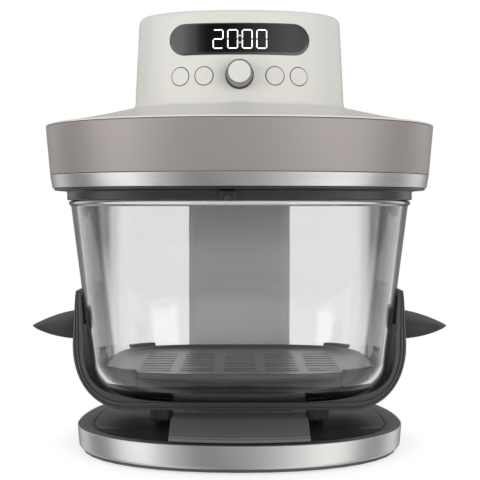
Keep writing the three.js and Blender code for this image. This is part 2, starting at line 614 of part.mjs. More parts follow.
function makeCradle() {
  const { edge, floor_edge, tip_edge, skin, floor_skin, half_width, bead, power, inner_power } = cradle;
  const right = strapLine(0, 0, 0, power);
  const left = right.map(([x, z]) => [-x, z]).reverse();
  const outer = prismY(outline([...left, ...right]), -half_width, half_width);
  const between = strapRegion(edge, floor_edge, tip_edge, inner_power, half_width + overrun);
  const channel = strapRegion(skin, floor_skin, tip_edge, power, half_width - bead);
  let body = outer.subtract(between).subtract(channel).subtract(bowlBody(gap));
  const { groove, groove_depth, groove_share } = cradle;
  const grooveOuter = strapRegion(edge * groove_share, floor_edge * groove_share, tip_edge, power,
    half_width + overrun);
  const grooveInner = strapRegion(edge * groove_share + groove, floor_edge * groove_share + groove,
    tip_edge, power, half_width + 2 * overrun);
  const wide = cradle.half + overrun;
  const faces = block(-wide, wide, -half_width - overrun, -half_width + groove_depth, 0, cradle.top - bead)
    .add(block(-wide, wide, half_width - groove_depth, half_width + overrun, 0, cradle.top - bead));
  body = body.subtract(grooveOuter.subtract(grooveInner).intersect(faces));
  const dark = finish(colours.dark, 0.6);
  add('cradle', body, dark);

  for (const [name, side] of [['ear_left', -1], ['ear_right', 1]]) {
    const wing = new THREE.Shape();
    const { half_width: earHalf, corner } = ear;
    const [root, tip] = [cradle.half - ear.root, cradle.half + ear.reach];
    const drops = [ear.tip_drop, ear.top_drop, ear.bottom_drop];
    const [tip_z, top, bottom] = drops.map((drop) => cradle.top - drop);
    wing.moveTo(root, bottom);
    wing.quadraticCurveTo((root + tip) / 2, bottom, tip, tip_z);
    wing.bezierCurveTo((root + 2 * tip) / 3, (tip_z + 2 * top) / 3, (2 * root + tip) / 3, top, root, top);
    const body = prismY(wing, -earHalf, earHalf, 8);
    const plan = prism(roundedRectangle(-tip - overrun, tip + overrun, -earHalf, earHalf, corner),
      bottom - overrun, top + overrun, 5);
    let shaped = body.intersect(plan);
    if (side < 0) shaped = shaped.mirror([1, 0, 0]);
    add(name, shaped.subtract(grownStrap(gap)), dark);
  }
  for (const [name, side] of [['arm_pad_left', -1], ['arm_pad_right', 1]]) {
    const { half_width: padHalf, depth } = pad;
    const [bottom, top] = [cradle.top - pad.bottom_drop, cradle.top - pad.top_drop];
    const x0 = side * (cradle.half - depth);
    const x1 = side * cradle.half;
    const slabBody = block(Math.min(x0, x1), Math.max(x0, x1), -padHalf, padHalf, bottom, top);
    const inside = strapRegion(skin + gap, floor_skin, tip_edge + gap, power, half_width);
    add(name, slabBody.intersect(inside).subtract(bowlBody(gap)), finish(colours.silicone, 0.8));
  }
  const { inner_x, width, length, groove: slot, round } = cradle_foot;
  const front = cradle.half_width - cradle_foot.in_front;
  const bottom = base.ring_top + cradle_foot.clear;
  for (const [name, sx, sy] of [['cradle_foot_front_left', -1, -1], ['cradle_foot_front_right', 1, -1],
    ['cradle_foot_rear_left', -1, 1], ['cradle_foot_rear_right', 1, 1]]) {
    const x0 = sx < 0 ? -inner_x - width : inner_x;
    const y0 = sy < 0 ? -front : front - length;
    const top = cradle.bottom - gap;
    const shape = new THREE.Shape();
    shape.moveTo(x0, top);
    shape.lineTo(x0, bottom + round);
    shape.quadraticCurveTo(x0, bottom, x0 + round, bottom);
    shape.lineTo(x0 + width - round, bottom);
    shape.quadraticCurveTo(x0 + width, bottom, x0 + width, bottom + round);
    shape.lineTo(x0 + width, top);
    let foot = prismY(shape, y0, y0 + length, 3);
    for (const share of [1 / 3, 2 / 3]) {
      const x = x0 + width * share;
      const face = sy < 0 ? y0 : y0 + length;
      foot = foot.subtract(block(x - slot / 2, x + slot / 2, face - slot, face + slot, bottom + round,
        top + overrun));
    }
    add(name, foot, finish(colours.rubber, 0.7));
  }
}

// The strap's outer body grown by a clearance, to trim what is fixed on it
function grownStrap(clearance) {
  const right = strapLine(-clearance, -clearance, -clearance, cradle.power);
  const left = right.map(([x, z]) => [-x, z]).reverse();
  const width = 2 * cradle.half_width;
  return prismY(outline([...left, ...right]), -width, width);
}

function makeCrisper() {
  const { half, front, power, top, thickness, rim, rim_width } = crisper;
  const inward = (inset, z) => section(half - inset, front - inset, front - inset, power, z);
  const centre = (z) => section(0, 0, 0, power, z);
  const under = top - thickness;
  let body = loft([
    centre(under), inward(rim_width, under), inward(0, top), inward(0, rim), inward(rim_width, rim),
    inward(rim_width * 2, top), centre(top),
  ]);
  const { slot_pitch_x, slot_pitch_y, slot_length, slot_width } = crisper;
  const columns = Math.floor(2 * (half - crisper.margin_side) / slot_pitch_x);
  const rows = Math.floor(2 * (front - crisper.margin_front) / slot_pitch_y);
  for (let i = 0; i < columns; i += 1) {
    for (let j = 0; j < rows; j += 1) {
      const x = (i - (columns - 1) / 2) * slot_pitch_x;
      const y = (j - (rows - 1) / 2) * slot_pitch_y;
      body = body.subtract(block(x - slot_length / 2, x + slot_length / 2, y - slot_width / 2,
        y + slot_width / 2, under - overrun, top + overrun));
    }
  }
  add('crisper_plate', body, finish(colours.dark, 0.4, 0.6));

  const insideProfile = bowlProfile(glass.wall + gap, glass.floor + glass.base_wall + gap,
    glass.inner_corner, glass.rim);
  const inside = loft([...insideProfile, glassSection(glass.half, glass.rim)]);
  const room = slab(half + gap, front + gap, front + gap, power, under - gap, rim + gap);
  const { clip_half, clip_under, clip_over } = crisper;
  const [clip_x, clip_y] = [half - crisper.clip_side, front - crisper.clip_front];
  for (const [name, sx, sy] of [['clip_front_left', -1, -1], ['clip_front_right', 1, -1],
    ['clip_rear_left', -1, 1], ['clip_rear_right', 1, 1]]) {
    const [x, y] = [sx * clip_x, sy * clip_y];
    const clip = block(x - clip_half, x + clip_half, y - clip_half, y + clip_half, under - clip_under,
      rim + clip_over);
    add(name, clip.intersect(inside).subtract(room), finish(colours.silicone, 0.8));
  }
}

// Skirt, gasket, steel trim and taupe collar: rings one above the other, closed round the hot-air unit
function makeHeadRings() {
  const { half, front, rear, power, bottom, shoulder, flange_half, flange_front, flange_rear, flange_top,
    roof, lip } = skirt;
  const headPower = collar.power;
  const body = loft([
    section(0, 0, 0, power, bottom), section(half, front, rear, power, bottom),
    section(half, front, rear, power, shoulder),
    section(flange_half, flange_front, flange_rear, headPower, flange_top - lip),
    section(flange_half, flange_front, flange_rear, headPower, flange_top),
    section(0, 0, 0, headPower, flange_top),
  ]);
  const seat = half - skirt.wall;
  const inset = glass.half - seat;
  const pocket = loft([
    glassSection(glass.half, bottom - overrun), glassSection(inset, bottom - overrun),
    glassSection(inset, roof), glassSection(glass.half, roof),
  ]);
  const throat = slab(mouth.half, mouth.front_reach, mouth.rear_reach, mouth.power, bottom - overrun,
    flange_top + overrun);
  add('skirt', body.subtract(pocket).subtract(throat), finish(colours.dark, 0.55));

  const seal = loft([
    glassSection(inset + gap, bottom), glassSection(inset + gap, bottom + gasket.height),
    glassSection(inset + gap + gasket.width, bottom + gasket.height),
    glassSection(inset + gap + gasket.width, bottom),
  ]);
  add('gasket', seal.subtract(throat), finish(colours.silicone, 0.8));

  const trimBottom = flange_top + gap;
  const steel = finish(colours.steel, 0.32, 1);
  add('trim_ring', loft([
    section(trim.half, trim.front, trim.rear, headPower, trimBottom),
    section(trim.top_half, trim.top_front, trim.top_rear, headPower, trim.top),
    section(trim.top_half - trim.wall, trim.top_front - trim.wall, trim.top_rear - trim.wall,
      headPower, trim.top),
    section(trim.half - trim.wall, trim.front - trim.wall, trim.rear - trim.wall, headPower, trimBottom),
  ]), steel);

  const collarBottom = trim.top + gap;
  add('collar', loft([
    section(trim.top_half, trim.top_front, trim.top_rear, headPower, collarBottom),
    section(collar.half, collar.front, collar.rear, headPower, collar.top),
    section(collar.half - collar.wall, collar.front - collar.wall, collar.rear - collar.wall,
      headPower, collar.top),
    section(trim.top_half - collar.wall, trim.top_front - collar.wall, trim.top_rear - collar.wall,
      headPower, collarBottom),
  ]), finish(colours.taupe, 0.4, 0.3));

  const { x, half: lock, depth, finger_half, finger_depth, travel, roof: slotRoof } = interlock;
  const face = -front - gap;
  const housingTop = shoulder - gap;
  const slotTop = housingTop - slotRoof;
  const housing = block(x - lock, x + lock, face - depth, face, bottom + gap, housingTop)
    .subtract(block(x - finger_half - gap, x + finger_half + gap, face - depth - overrun,
      face - depth + finger_depth + gap,
      bottom - overrun, slotTop));
  add('interlock_housing', housing, finish(colours.dark, 0.5));
  add('interlock_finger', block(x - finger_half, x + finger_half, face - depth, face - depth + finger_depth,
    bottom + gap, slotTop - travel - gap), finish(colours.rubber, 0.5));
}

// Sections of the white cover, drawn in by a given amount: rim, shoulder, foot fillet, turret, round top
function coverSections(inset) {
  const c = cover;
  const rimZ = collar.top + gap;
  const rim = (draw, z) => {
    const inward = inset + draw;
    return section(collar.half - inward, collar.front - inward, collar.rear - inward, collar.power, z);
  };
  const turret = (half, front, rear, draw, z) => {
    const inward = inset + draw;
    return section(half - inward, front - inward, rear - inward, c.power, z - inset);
  };
  const start = inset > 0 ? rimZ - overrun : rimZ;
  const sections = [section(0, 0, 0, collar.power, start), rim(0, start)];
  if (inset === 0) sections.push(rim(0, rimZ + c.edge_straight));
  sections.push(rim(c.edge_round, rimZ + c.edge_straight + c.edge_round - inset));
  for (let i = 0; i <= c.fillet_steps; i += 1) {
    const turn = Math.PI / 2 * i / c.fillet_steps;
    const out = 1 - Math.sin(turn);
    const mix = (foot, shoulder) => foot + (shoulder - foot) * out;
    const z = c.shoulder_z + (c.foot_z - c.shoulder_z) * (1 - Math.cos(turn));
    sections.push(turret(mix(c.foot_half, c.shoulder_half), mix(c.foot_front, c.shoulder_front),
      mix(c.foot_rear, c.shoulder_rear), 0, z));
  }
  for (let i = 0; i <= c.top_steps; i += 1) {
    const turn = Math.PI / 2 * i / c.top_steps;
    const draw = c.top_round * (1 - Math.cos(turn));
    sections.push(turret(c.top_half, c.top_front, c.top_rear, draw,
      c.top - c.top_round * (1 - Math.sin(turn))));
  }
  sections.push(section(0, 0, 0, c.power, c.top + c.crown - inset));
  return sections;
}

// A frame on the turret's front: X along the surface, Y up it, Z straight out of it
function panelFrame(x, z) {
  const c = cover;
  const surface = (px, pz) => {
    const share = (pz - c.foot_z) / (c.top - c.top_round - c.foot_z);
    const half = c.foot_half + (c.top_half - c.foot_half) * share;
    const front = c.foot_front + (c.top_front - c.foot_front) * share;
    return new THREE.Vector3(px, -front * (1 - Math.abs(px / half) ** c.power) ** (1 / c.power), pz);
  };
  const place = surface(x, z);
  const along = surface(x + gap, z).sub(surface(x - gap, z)).normalize();
  const up = surface(x, z + gap).sub(surface(x, z - gap)).normalize();
  const out = new THREE.Vector3().crossVectors(along, up).normalize();
  up.crossVectors(out, along);
  return new THREE.Matrix4().makeBasis(along, up, out).setPosition(place);
}

function disc(radius, low, high, steps = round_steps, top_radius = radius) {
  return rod(0, 0, low, high, radius, steps, top_radius);
}

// A holder that stands on the panel; what is added to it is drawn in the panel's own frame
function panelHolder(frame) {
  const holder = new THREE.Group();
  holder.applyMatrix4(frame);
  group.add(holder);
  return holder;
}

// A body drawn in the panel's frame, moved to its place so that it can cut the cover
function onPanel(body, frame) {
  return body.transform(frame.elements);
}

function makeCover() {
  const white = finish(colours.stone, 0.45);
  let shell = loft(coverSections(0), cover.steps).subtract(loft(coverSections(cover.wall), cover.steps));
  const low = display.centre_z - display.height / 2;
  const high = display.centre_z + display.height / 2;
  const pill = (shrink) => prismY(roundedRectangle(-display.half + shrink, display.half - shrink,
    low + shrink, high - shrink, display.height / 2 - shrink), -cover.foot_front - overrun, 0, 10);
  shell = shell.subtract(pill(0).subtract(loft(coverSections(display.pocket), cover.steps)));
  const pane = pill(gap).intersect(loft(coverSections(display.flush), cover.steps))
    .subtract(loft(coverSections(display.flush + display.thickness), cover.steps));
  add('display_window', pane, finish(colours.screen, 0.12));

  const boardFront = board.y - board.thickness;
  for (const side of [-1, 1]) {
    for (const z of [cover.foot_z + board.boss_low, cover.top - board.boss_high]) {
      const boss = new THREE.CylinderGeometry(board.boss_radius, board.boss_radius, cover.foot_front,
        small_steps);
      boss.translate(side * board.boss_x, boardFront - gap - cover.foot_front / 2, z);
      const inCover = loft(coverSections((cover.wall + display.pocket) / 2), cover.steps);
      shell = shell.add(solid(boss).intersect(inCover));
    }
  }
  const knobFrame = panelFrame(0, knob.z);
  shell = shell.subtract(onPanel(disc(shaft.radius + 2 * gap, -shaft.reach, knob.length), knobFrame));
  const places = [['button_outer_left', -button_outer_x], ['button_inner_left', -button_inner_x],
    ['button_inner_right', button_inner_x], ['button_outer_right', button_outer_x]];
  for (const [name, x] of places) {
    const frame = panelFrame(x, button.z);
    shell = shell.subtract(onPanel(disc(button.radius + button.clear, -2 * cover.wall, knob.length), frame));
    const key = disc(button.radius, -button.stem, button.proud)
      .add(disc(button.radius + button.flange, -button.stem - button.flange_height, -button.stem));
    add(name, key, white, panelHolder(frame));
  }
  add('head_cover', shell, white);

  const holder = panelHolder(knobFrame);
  const metal = finish(colours.grey, 0.3, 0.8);
  const recess = disc(knob.radius, knob.length - knob.rim_depth, knob.length + overrun)
    .intersect(disc(knob.face_radius - knob.rim, 0, knob.length + overrun));
  const bore = disc(shaft.radius + gap, 0, gap + knob.bore_depth);
  const knobBody = disc(knob.radius, knob.lift, knob.length, round_steps, knob.face_radius);
  add('knob', knobBody.subtract(recess).subtract(bore), metal, holder);
  add('knob_cap', disc(knob.face_radius - knob.rim - gap / 2, knob.length - knob.rim_depth + gap / 2,
    knob.length + gap / 2), white, holder);
  add('knob_shaft', disc(shaft.radius, -shaft.reach, knob.bore_depth), finish(colours.steel, 0.3, 1), holder);

  const encoderBlock = block(-encoder.half, encoder.half, boardFront - gap - encoder.depth, boardFront - gap,
    knob.z - encoder.half - encoder.drop, knob.z + encoder.half - encoder.drop);
  const shaftWay = onPanel(disc(shaft.radius + gap, -2 * shaft.reach, 0), knobFrame);
  add('knob_encoder', encoderBlock.subtract(shaftWay),
    finish(colours.dark, 0.5));
  add('control_board', block(-board.half, board.half, boardFront, board.y, board.bottom, board.top),
    finish(colours.green, 0.6));
}

// A spiral of heater tube with both ends turned up to the roof of the reflector
class HeaterPath extends THREE.Curve {
  constructor() {
    super();
    const points = [];
    const { inner, outer, turns, steps, z, bend } = coil;
    const roof = pan.roof - pan.wall - gap;
    const count = turns * steps;
    points.push(new THREE.Vector3(inner, 0, roof), new THREE.Vector3(inner, 0, (roof + z) / 2),
      new THREE.Vector3(inner, 0, z + bend));
    for (let i = 1; i < count; i += 1) {
      const angle = 2 * Math.PI * i / steps;
      const radius = inner + (outer - inner) * i / count;
      points.push(new THREE.Vector3(radius * Math.cos(angle), radius * Math.sin(angle), z));
    }
    points.push(new THREE.Vector3(outer, 0, z + bend), new THREE.Vector3(outer, 0, (roof + z) / 2),
      new THREE.Vector3(outer, 0, roof));
    this.route = new THREE.CatmullRomCurve3(points);
    this.places = points;
  }

  getPoint(t, target = new THREE.Vector3()) {
    return this.route.getPoint(t, target);
  }
}

// Least clear space between loops of the tube, over points that lie well apart along it
function leastGap(points, apart, width) {
  let least = Infinity;
  for (let i = 0; i < points.length; i += 1) {
    for (let j = i + apart; j < points.length; j += 1) {
      least = Math.min(least, points[i].distanceTo(points[j]));
    }
  }
  return least - width;
}

function makeHotAir() {
  const metal = finish(colours.aluminium, 0.35, 1);
  const flangeZ = skirt.flange_top + gap;
  const dish = (half, z) => {
    const share = half / mouth.half;
    return section(half, mouth.front_reach * share, mouth.rear_reach * share, mouth.power, z);
  };
  const reflector = loft([
    dish(0, pan.roof), dish(pan.roof_half, pan.roof), dish(pan.half, flangeZ + pan.wall),
    dish(pan.half + pan.flange, flangeZ + pan.wall), dish(pan.half + pan.flange, flangeZ),
    dish(pan.half - pan.wall, flangeZ),
    dish(pan.roof_half - pan.wall, pan.roof - pan.wall), dish(0, pan.roof - pan.wall),
  ]).subtract(rod(0, 0, flangeZ, pan.roof + overrun, pan.bore));
  add('heater_pan', reflector, metal);

  const wires = [];
  for (let i = 0; i < guard.rings; i += 1) {
    const half = guard.hub + (guard.half - guard.hub) * (i + 1) / guard.rings;
    wires.push(loft([dish(half, guard.z - guard.thickness), dish(half, guard.z),
      dish(half - guard.wire, guard.z),
      dish(half - guard.wire, guard.z - guard.thickness)], guard.steps));
  }
  let grille = rod(0, 0, guard.z - guard.thickness, guard.z, guard.hub, small_steps);
  for (const wire of wires) grille = grille.add(wire);
  const reach = 2 * Math.hypot(mouth.half, mouth.front_reach);
  for (let i = 0; i < guard.spokes / 2; i += 1) {
    const spoke = new THREE.BoxGeometry(reach, guard.wire, guard.thickness - gap);
    spoke.rotateZ(2 * Math.PI * (i + 1 / 2) / guard.spokes);
    spoke.translate(0, 0, guard.z - guard.thickness / 2);
    const outerDisc = loft([dish(0, guard.z - guard.thickness),
      dish(guard.half - guard.wire / 2, guard.z - guard.thickness),
      dish(guard.half - guard.wire / 2, guard.z), dish(0, guard.z)], guard.steps);
    grille = grille.add(solid(spoke).intersect(outerDisc));
  }
  add('heater_guard', grille, finish(colours.steel, 0.3, 1));

  const path = new HeaterPath();
  const circle = new THREE.Shape();
  circle.absarc(0, 0, coil.tube, 0, 2 * Math.PI);
  const ring = circle.getPoints(coil.sides).slice(0, coil.sides);
  const tube = new THREE.ExtrudeGeometry(outline(ring.map((p) => [p.x, p.y])),
    { steps: coil.turns * coil.steps + 2 * coil.riser_steps, bevelEnabled: false, extrudePath: path });
  console.log('heater coil, least gap between loops, mm:',
    leastGap(path.places, coil.steps / 2, 2 * coil.tube).toFixed(2));
  add('heater_coil', solid(tube), finish(colours.heater, 0.4, 0.9));

  const wheel = (item, blades, top) => {
    let body = rod(0, 0, item.bottom, item.bottom + item.disc, item.radius, outline_steps / 2)
      .add(rod(0, 0, item.bottom, top, item.hub, small_steps));
    for (let i = 0; i < blades; i += 1) {
      const root = item.radius * item.root_share;
      const vane = new THREE.BoxGeometry(item.radius - root, item.blade, top - item.bottom - gap);
      vane.translate((item.radius + root) / 2, 0, (top + item.bottom) / 2);
      vane.rotateZ(THREE.MathUtils.degToRad(item.sweep_deg));
      vane.translate(-item.radius * item.sweep_share, 0, 0);
      vane.rotateZ(2 * Math.PI * i / blades);
      body = body.add(solid(vane).intersect(rod(0, 0, item.bottom, top, item.radius, outline_steps / 2)));
    }
    return body.subtract(rod(0, 0, item.bottom - overrun, top + overrun, spindle.radius + gap, small_steps));
  };
  add('fan', wheel(fan, fan.blades, fan.bottom + fan.blade_height), metal);
  add('cooling_fan', wheel(cooler, cooler.blades, cooler.bottom + cooler.height), finish(colours.dark, 0.5));
  add('fan_shaft', rod(0, 0, fan.bottom, motor.bottom + spindle.into, spindle.radius, small_steps),
    finish(colours.steel, 0.3, 1));

  const motorBody = rod(0, 0, motor.bottom, motor.top, motor.radius)
    .add(rod(0, 0, motor.top - gap, motor.top + motor.cap, motor.cap_radius))
    .subtract(rod(0, 0, motor.bottom - overrun, motor.bottom + spindle.into + gap, spindle.radius + gap,
      small_steps));
  add('motor', motorBody, metal);
  const under = motor.bottom - gap;
  let bridge = rod(0, 0, under - bracket.thickness, under, bracket.radius)
    .subtract(rod(0, 0, under - 2 * bracket.thickness, under + overrun, bracket.bore));
  for (let i = 0; i < bracket.legs; i += 1) {
    const angle = 2 * Math.PI * (i + 1 / 2) / bracket.legs;
    const [x, y] = [bracket.leg_ring * Math.cos(angle), bracket.leg_ring * Math.sin(angle)];
    bridge = bridge.add(rod(x, y, pan.roof + gap, under - gap, bracket.leg / 2, small_steps));
  }
  add('motor_bracket', bridge, finish(colours.steel, 0.4, 1));
}

makeBase();
makePlatform();
makeLever();
makeColumn();
makeBowl();
makeCradle();
makeCrisper();
makeHeadRings();
makeCover();
makeHotAir();

// The origin lies below the middle of the whole, on the surface that the feet stand on
group.position.y = (collar.front - collar.rear) / 2;

export default group;
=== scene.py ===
"""Glass air fryer: the finished look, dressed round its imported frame.

Lengths are metres. Outlines are superellipses about the bowl's centre, as the whole product is drawn.
"""
import math

import bmesh
import bpy
import numpy as np
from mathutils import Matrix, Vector


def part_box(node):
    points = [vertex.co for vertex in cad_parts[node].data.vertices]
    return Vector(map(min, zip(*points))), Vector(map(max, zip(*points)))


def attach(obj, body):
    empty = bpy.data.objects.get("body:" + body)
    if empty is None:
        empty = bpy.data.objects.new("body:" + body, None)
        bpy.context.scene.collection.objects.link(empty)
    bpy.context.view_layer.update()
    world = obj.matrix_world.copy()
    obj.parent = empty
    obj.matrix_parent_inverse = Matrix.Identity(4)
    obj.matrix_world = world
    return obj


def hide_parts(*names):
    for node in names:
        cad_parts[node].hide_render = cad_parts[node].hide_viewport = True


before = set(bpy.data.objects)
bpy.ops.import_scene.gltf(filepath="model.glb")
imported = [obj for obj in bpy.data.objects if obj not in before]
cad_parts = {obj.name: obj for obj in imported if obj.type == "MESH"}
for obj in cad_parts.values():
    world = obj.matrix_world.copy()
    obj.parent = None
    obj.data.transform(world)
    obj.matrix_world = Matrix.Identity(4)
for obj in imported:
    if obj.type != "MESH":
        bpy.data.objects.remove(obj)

bl_info = {
    "name": "Glass Air Fryer",
    "version": (1, 0, 0),
    "blender": (4, 5, 0),
    "location": "3D View > Sidebar > Air Fryer",
    "description": "Builds a countertop glass air fryer: base, bowl in its cradle and head with controls",
    "category": "Add Mesh",
}

MM = 0.001
# Points round an outline, a full turn, the distance under which two points become one, and the usual play.
ROUND = 256
TURN = 2 * math.pi
MERGE = 0.002 * MM
GAP = 0.3 * MM
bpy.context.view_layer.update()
BOWL_LOW, BOWL_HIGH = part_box("glass_bowl")
CENTRE_Y = (BOWL_LOW.y + BOWL_HIGH.y) / 2
# Powers of the superellipses: 2 is an ellipse, and a higher one nears a rectangle.
BASE_POWER = 2.17
HEAD_POWER = 2.25
TURRET_POWER = 2.15
GLASS_POWER = 3.4
SKIRT_POWER = 3.2
CRISPER_POWER = 3.2
PLATE_POWER = 2.6
SLOT_POWER = 14
PLATFORM_POWER = 9
# The air's mouth in the head: half width, reach to the front and to the rear, power.
MOUTH = (101 * MM, 95 * MM, 95 * MM, 2.4)
# The bowl's side: bead at the rim, lean in per height, radii of the corner at the floor.
GLASS_BEAD = 1.2 * MM
GLASS_SLOPE = 0.125
GLASS_CORNER = 25 * MM
GLASS_INNER_CORNER = 21 * MM


def reach(node):
    """Half width, reach to the front and to the rear of the bowl's centre, bottom and top of a frame node."""
    low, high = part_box(node)
    return (high.x - low.x) / 2, CENTRE_Y - low.y, high.y - CENTRE_Y, low.z, high.z


BAND = reach("base_band")
RING = reach("base_ring")
PLATE = reach("base_plate")
PLATFORM = reach("lift_platform")
SKIRT = reach("skirt")
TRIM = reach("trim_ring")
COVER = reach("head_cover")
GLASS = reach("glass_bowl")
CRADLE = reach("cradle")


def linear(code):
    """Turns an sRGB hex colour into the linear colour that shaders take."""
    parts = [int(code[i:i + 2], 16) / 255 for i in (1, 3, 5)]
    return tuple(p / 12.92 if p <= 0.04045 else ((p + 0.055) / 1.055) ** 2.4 for p in parts)


def length(name, description, millimetres):
    """A size that a user may change, given in millimetres and kept in metres."""
    return bpy.props.FloatProperty(
        name=name, description=description, default=millimetres * MM, unit="LENGTH", precision=5)


def colour(name, description, code):
    """A colour that a user may change, given as an sRGB hex code and kept linear."""
    return bpy.props.FloatVectorProperty(
        name=name, description=description, subtype="COLOR", size=3, min=0, max=1, default=linear(code))


class FRYER_PG_colours(bpy.types.PropertyGroup):
    """Colours of the finishes"""

    stone: colour("Stone white", "Moulded cover, buttons and knob cap", "#E2E0DA")
    taupe: colour("Taupe", "Metallic lacquer on the collar", "#A49D9B")
    steel: colour("Stainless steel", "Brushed band of the base and trim of the head", "#DEDDDB")
    dark: colour("Charcoal", "Moulded cradle and column", "#4C504E")
    # Darker than the charcoal: painted shade on the ears of the cradle.
    handle: colour("Handles", "Ears of the cradle", "#282B2A")
    # Lighter than the charcoal: painted light on the lever and the platform low at the front.
    lever: colour("Lever", "Lever and platform", "#626664")
    lacquer: colour("Satin black", "Skirt of the head", "#262928")
    ring: colour("Base ring", "Dark ring round the metal plate", "#3C3D3C")
    # The plate's colour is partly its bronze tint and partly a painted reflection of the dark cradle above
    # it.
    bronze: colour("Tinted plate", "Brushed and tinted plate of the base", "#3D3734")
    grey: colour("Column grey", "Front of the rear column", "#C4C6C5")
    rubber: colour("Rubber", "Feet and cord gland", "#3A3B3C")
    silicone: colour("Silicone", "Gasket, pads and corner clips", "#1B1D1E")
    screen: colour("Screen", "Smoked window of the display", "#0B0C0D")
    knob: colour("Knob metal", "Turned and satin anodised knob", "#9A9A9C")
    nonstick: colour("Non-stick coat", "Coated crisper plate", "#2B2D30")


class FRYER_PG_sizes(bpy.types.PropertyGroup):
    """Sizes that the frame's boxes don't give"""

    shoulder_half: length("Shoulder half width", "Where the cover's slope meets the turret", 82)
    shoulder_front: length("Shoulder front", "Reach of that line to the front", 60.6)
    shoulder_rear: length("Shoulder rear", "Reach of that line to the rear", 99)
    shoulder_z: length("Shoulder height", "Height of that line", 247.6)
    foot_half: length("Turret foot half width", "Just above the fillet", 76.8)
    foot_front: length("Turret foot front", "Reach to the front", 55.8)
    foot_rear: length("Turret foot rear", "Reach to the rear", 94)
    foot_z: length("Turret foot height", "Top of the fillet", 251.6)
    top_half: length("Turret top half width", "Below the rounded top edge", 73.9)
    top_front: length("Turret top front", "Reach to the front", 50.2)
    top_rear: length("Turret top rear", "Reach to the rear", 90)
    top_round: length("Turret top rounding", "Radius of the top edge", 5)
    crown: length("Turret crown", "Rise of the lid's middle", 0.6)
    cover_wall: length("Cover wall", "Thickness of the moulded cover", 3)
    glass_wall: length("Glass wall", "Thickness of the bowl's side", 3.6)
    glass_floor: length("Glass floor", "Thickness of the bowl's bottom", 5)
    strap_half: length("Cradle half width", "Half the width of the cradle's strap", 40)
    display_half: length("Display half width", "Half the length of the display", 49.4)
    display_height: length("Display height", "Height of the display", 22.6)
    display_z: length("Display centre", "Height of the display's centre", 293.9)
    knob_z: length("Knob height", "Height of the knob's axis on the panel", 268.1)
    button_z: length("Button height", "Height of the buttons on the panel", 267.9)
    button_inner: length("Inner button offset", "Distance from the middle", 24.8)
    button_outer: length("Outer button offset", "Distance from the middle", 41.6)
    button_radius: length("Button radius", "Radius of a button", 6.3)
    button_proud: length("Button rise", "How far a button stands out of the panel", 0.35)
    button_clear: length("Button gap", "Gap round a button", 0.6)
    pocket: length("Display pocket", "Depth of the pocket that holds the window", 2)
    pane: length("Window thickness", "Thickness of the display's window", 1.6)
    flush: length("Window depth", "How far the window lies below the panel", 0.1)
    figure_z: length("Figure centre", "Height of the middle of the clock's figures", 293.7)
    figure_height: length("Figure height", "Height of a figure of the clock", 13.7)
    figure_width: length("Figure width", "Width of a figure of the clock", 7.6)
    figure_1: length("First figure", "Place of the first figure's middle across", -14.95)
    figure_2: length("Second figure", "Place of the second figure's middle across", -4.75)
    figure_3: length("Third figure", "Place of the third figure's middle across", 5.4)
    figure_4: length("Fourth figure", "Place of the fourth figure's middle across", 15.55)
    segment: length("Segment width", "Width of a lit bar", 0.8)
    segment_gap: length("Segment gap", "Gap from a bar's end to the corner of its figure", 0.3)
    segment_rise: length("Segment rise", "How far a lit bar stands on the window", 0.04)
    colon_x: length("Colon place", "Place of the colon across", 0.3)
    colon_up: length("Upper dot", "Height of the upper dot over the figures' middle", 2.4)
    colon_down: length("Lower dot", "Depth of the lower dot under the figures' middle", 2.4)
    colon_radius: length("Dot radius", "Radius of the colon's dots", 0.4)
    knob_radius: length("Knob radius", "Radius at the knob's foot", 9.2)
    knob_face: length("Knob face radius", "Radius at the knob's face", 8.8)
    # The dark ring at the knob's foot is partly a part of its own and partly painted shadow round the foot.
    knob_shadow_ring: length("Knob ring radius", "Radius of the dark ring at the knob's foot", 9.9)
    knob_shadow_ring_height: length("Knob ring height", "Height of the dark ring", 1.2)
    knob_length: length("Knob length", "Length of the knob from the panel", 13.5)
    knob_rim: length("Knob rim", "Width of the metal rim round the cap", 0.8)
    knob_recess: length("Knob recess", "Depth of the recess that holds the cap", 2.4)


class FRYER_PG_stage(bpy.types.PropertyGroup):
    """Camera and lamps"""

    camera_distance: length("Camera distance", "From the lens to the bowl's centre", 900)
    camera_height: length("Camera height", "Height of the lens over the floor", 176.4)
    lens: bpy.props.FloatProperty(
        name="Lens", description="Focal length on a 36 mm sensor", default=91.19, min=1, unit="CAMERA")
    lamp_level: bpy.props.FloatProperty(
        name="Lamp level", description="Common factor on all lamps", default=1.0, min=0)


def sizes():
    """The sizes as the user has set them."""
    return bpy.context.scene.fryer_sizes


def softened(points, radius, steps=4, closed=False):
    """Rounds the corners of a line of points or sections whose first and last columns are its two lengths.

    Near a corner P the line follows (1-t)^2 A + 2t(1-t) P + t^2 B, with A and B on P's two sides, radius away
    from it.
    """
    line = np.asarray(points, float)
    before, after = np.roll(line, 1, 0), np.roll(line, -1, 0)
    radius = np.broadcast_to(np.asarray(radius, float), len(line))
    t = np.linspace(0, 1, steps + 1)[None, :, None]
    ends = []
    for other in (before, after):
        step = other - line
        far = np.maximum(np.hypot(step[:, 0], step[:, -1]), 1e-9)
        ends.append(line + step * (np.minimum(radius, far / 2) / far)[:, None])
    curves = (1 - t) ** 2 * ends[0][:, None] + 2 * t * (1 - t) * line[:, None] + t ** 2 * ends[1][:, None]
    if closed:
        return curves.reshape(-1, line.shape[1])
    inner = curves[1:-1].reshape(-1, line.shape[1])
    return np.concatenate([line[:1], inner, line[-1:]])


def signed_power(value, exponent):
    """Sign of the value times its size to a power; values that are zero but for rounding stay zero."""
    value = np.round(value, 12)
    return np.sign(value) * np.abs(value) ** exponent


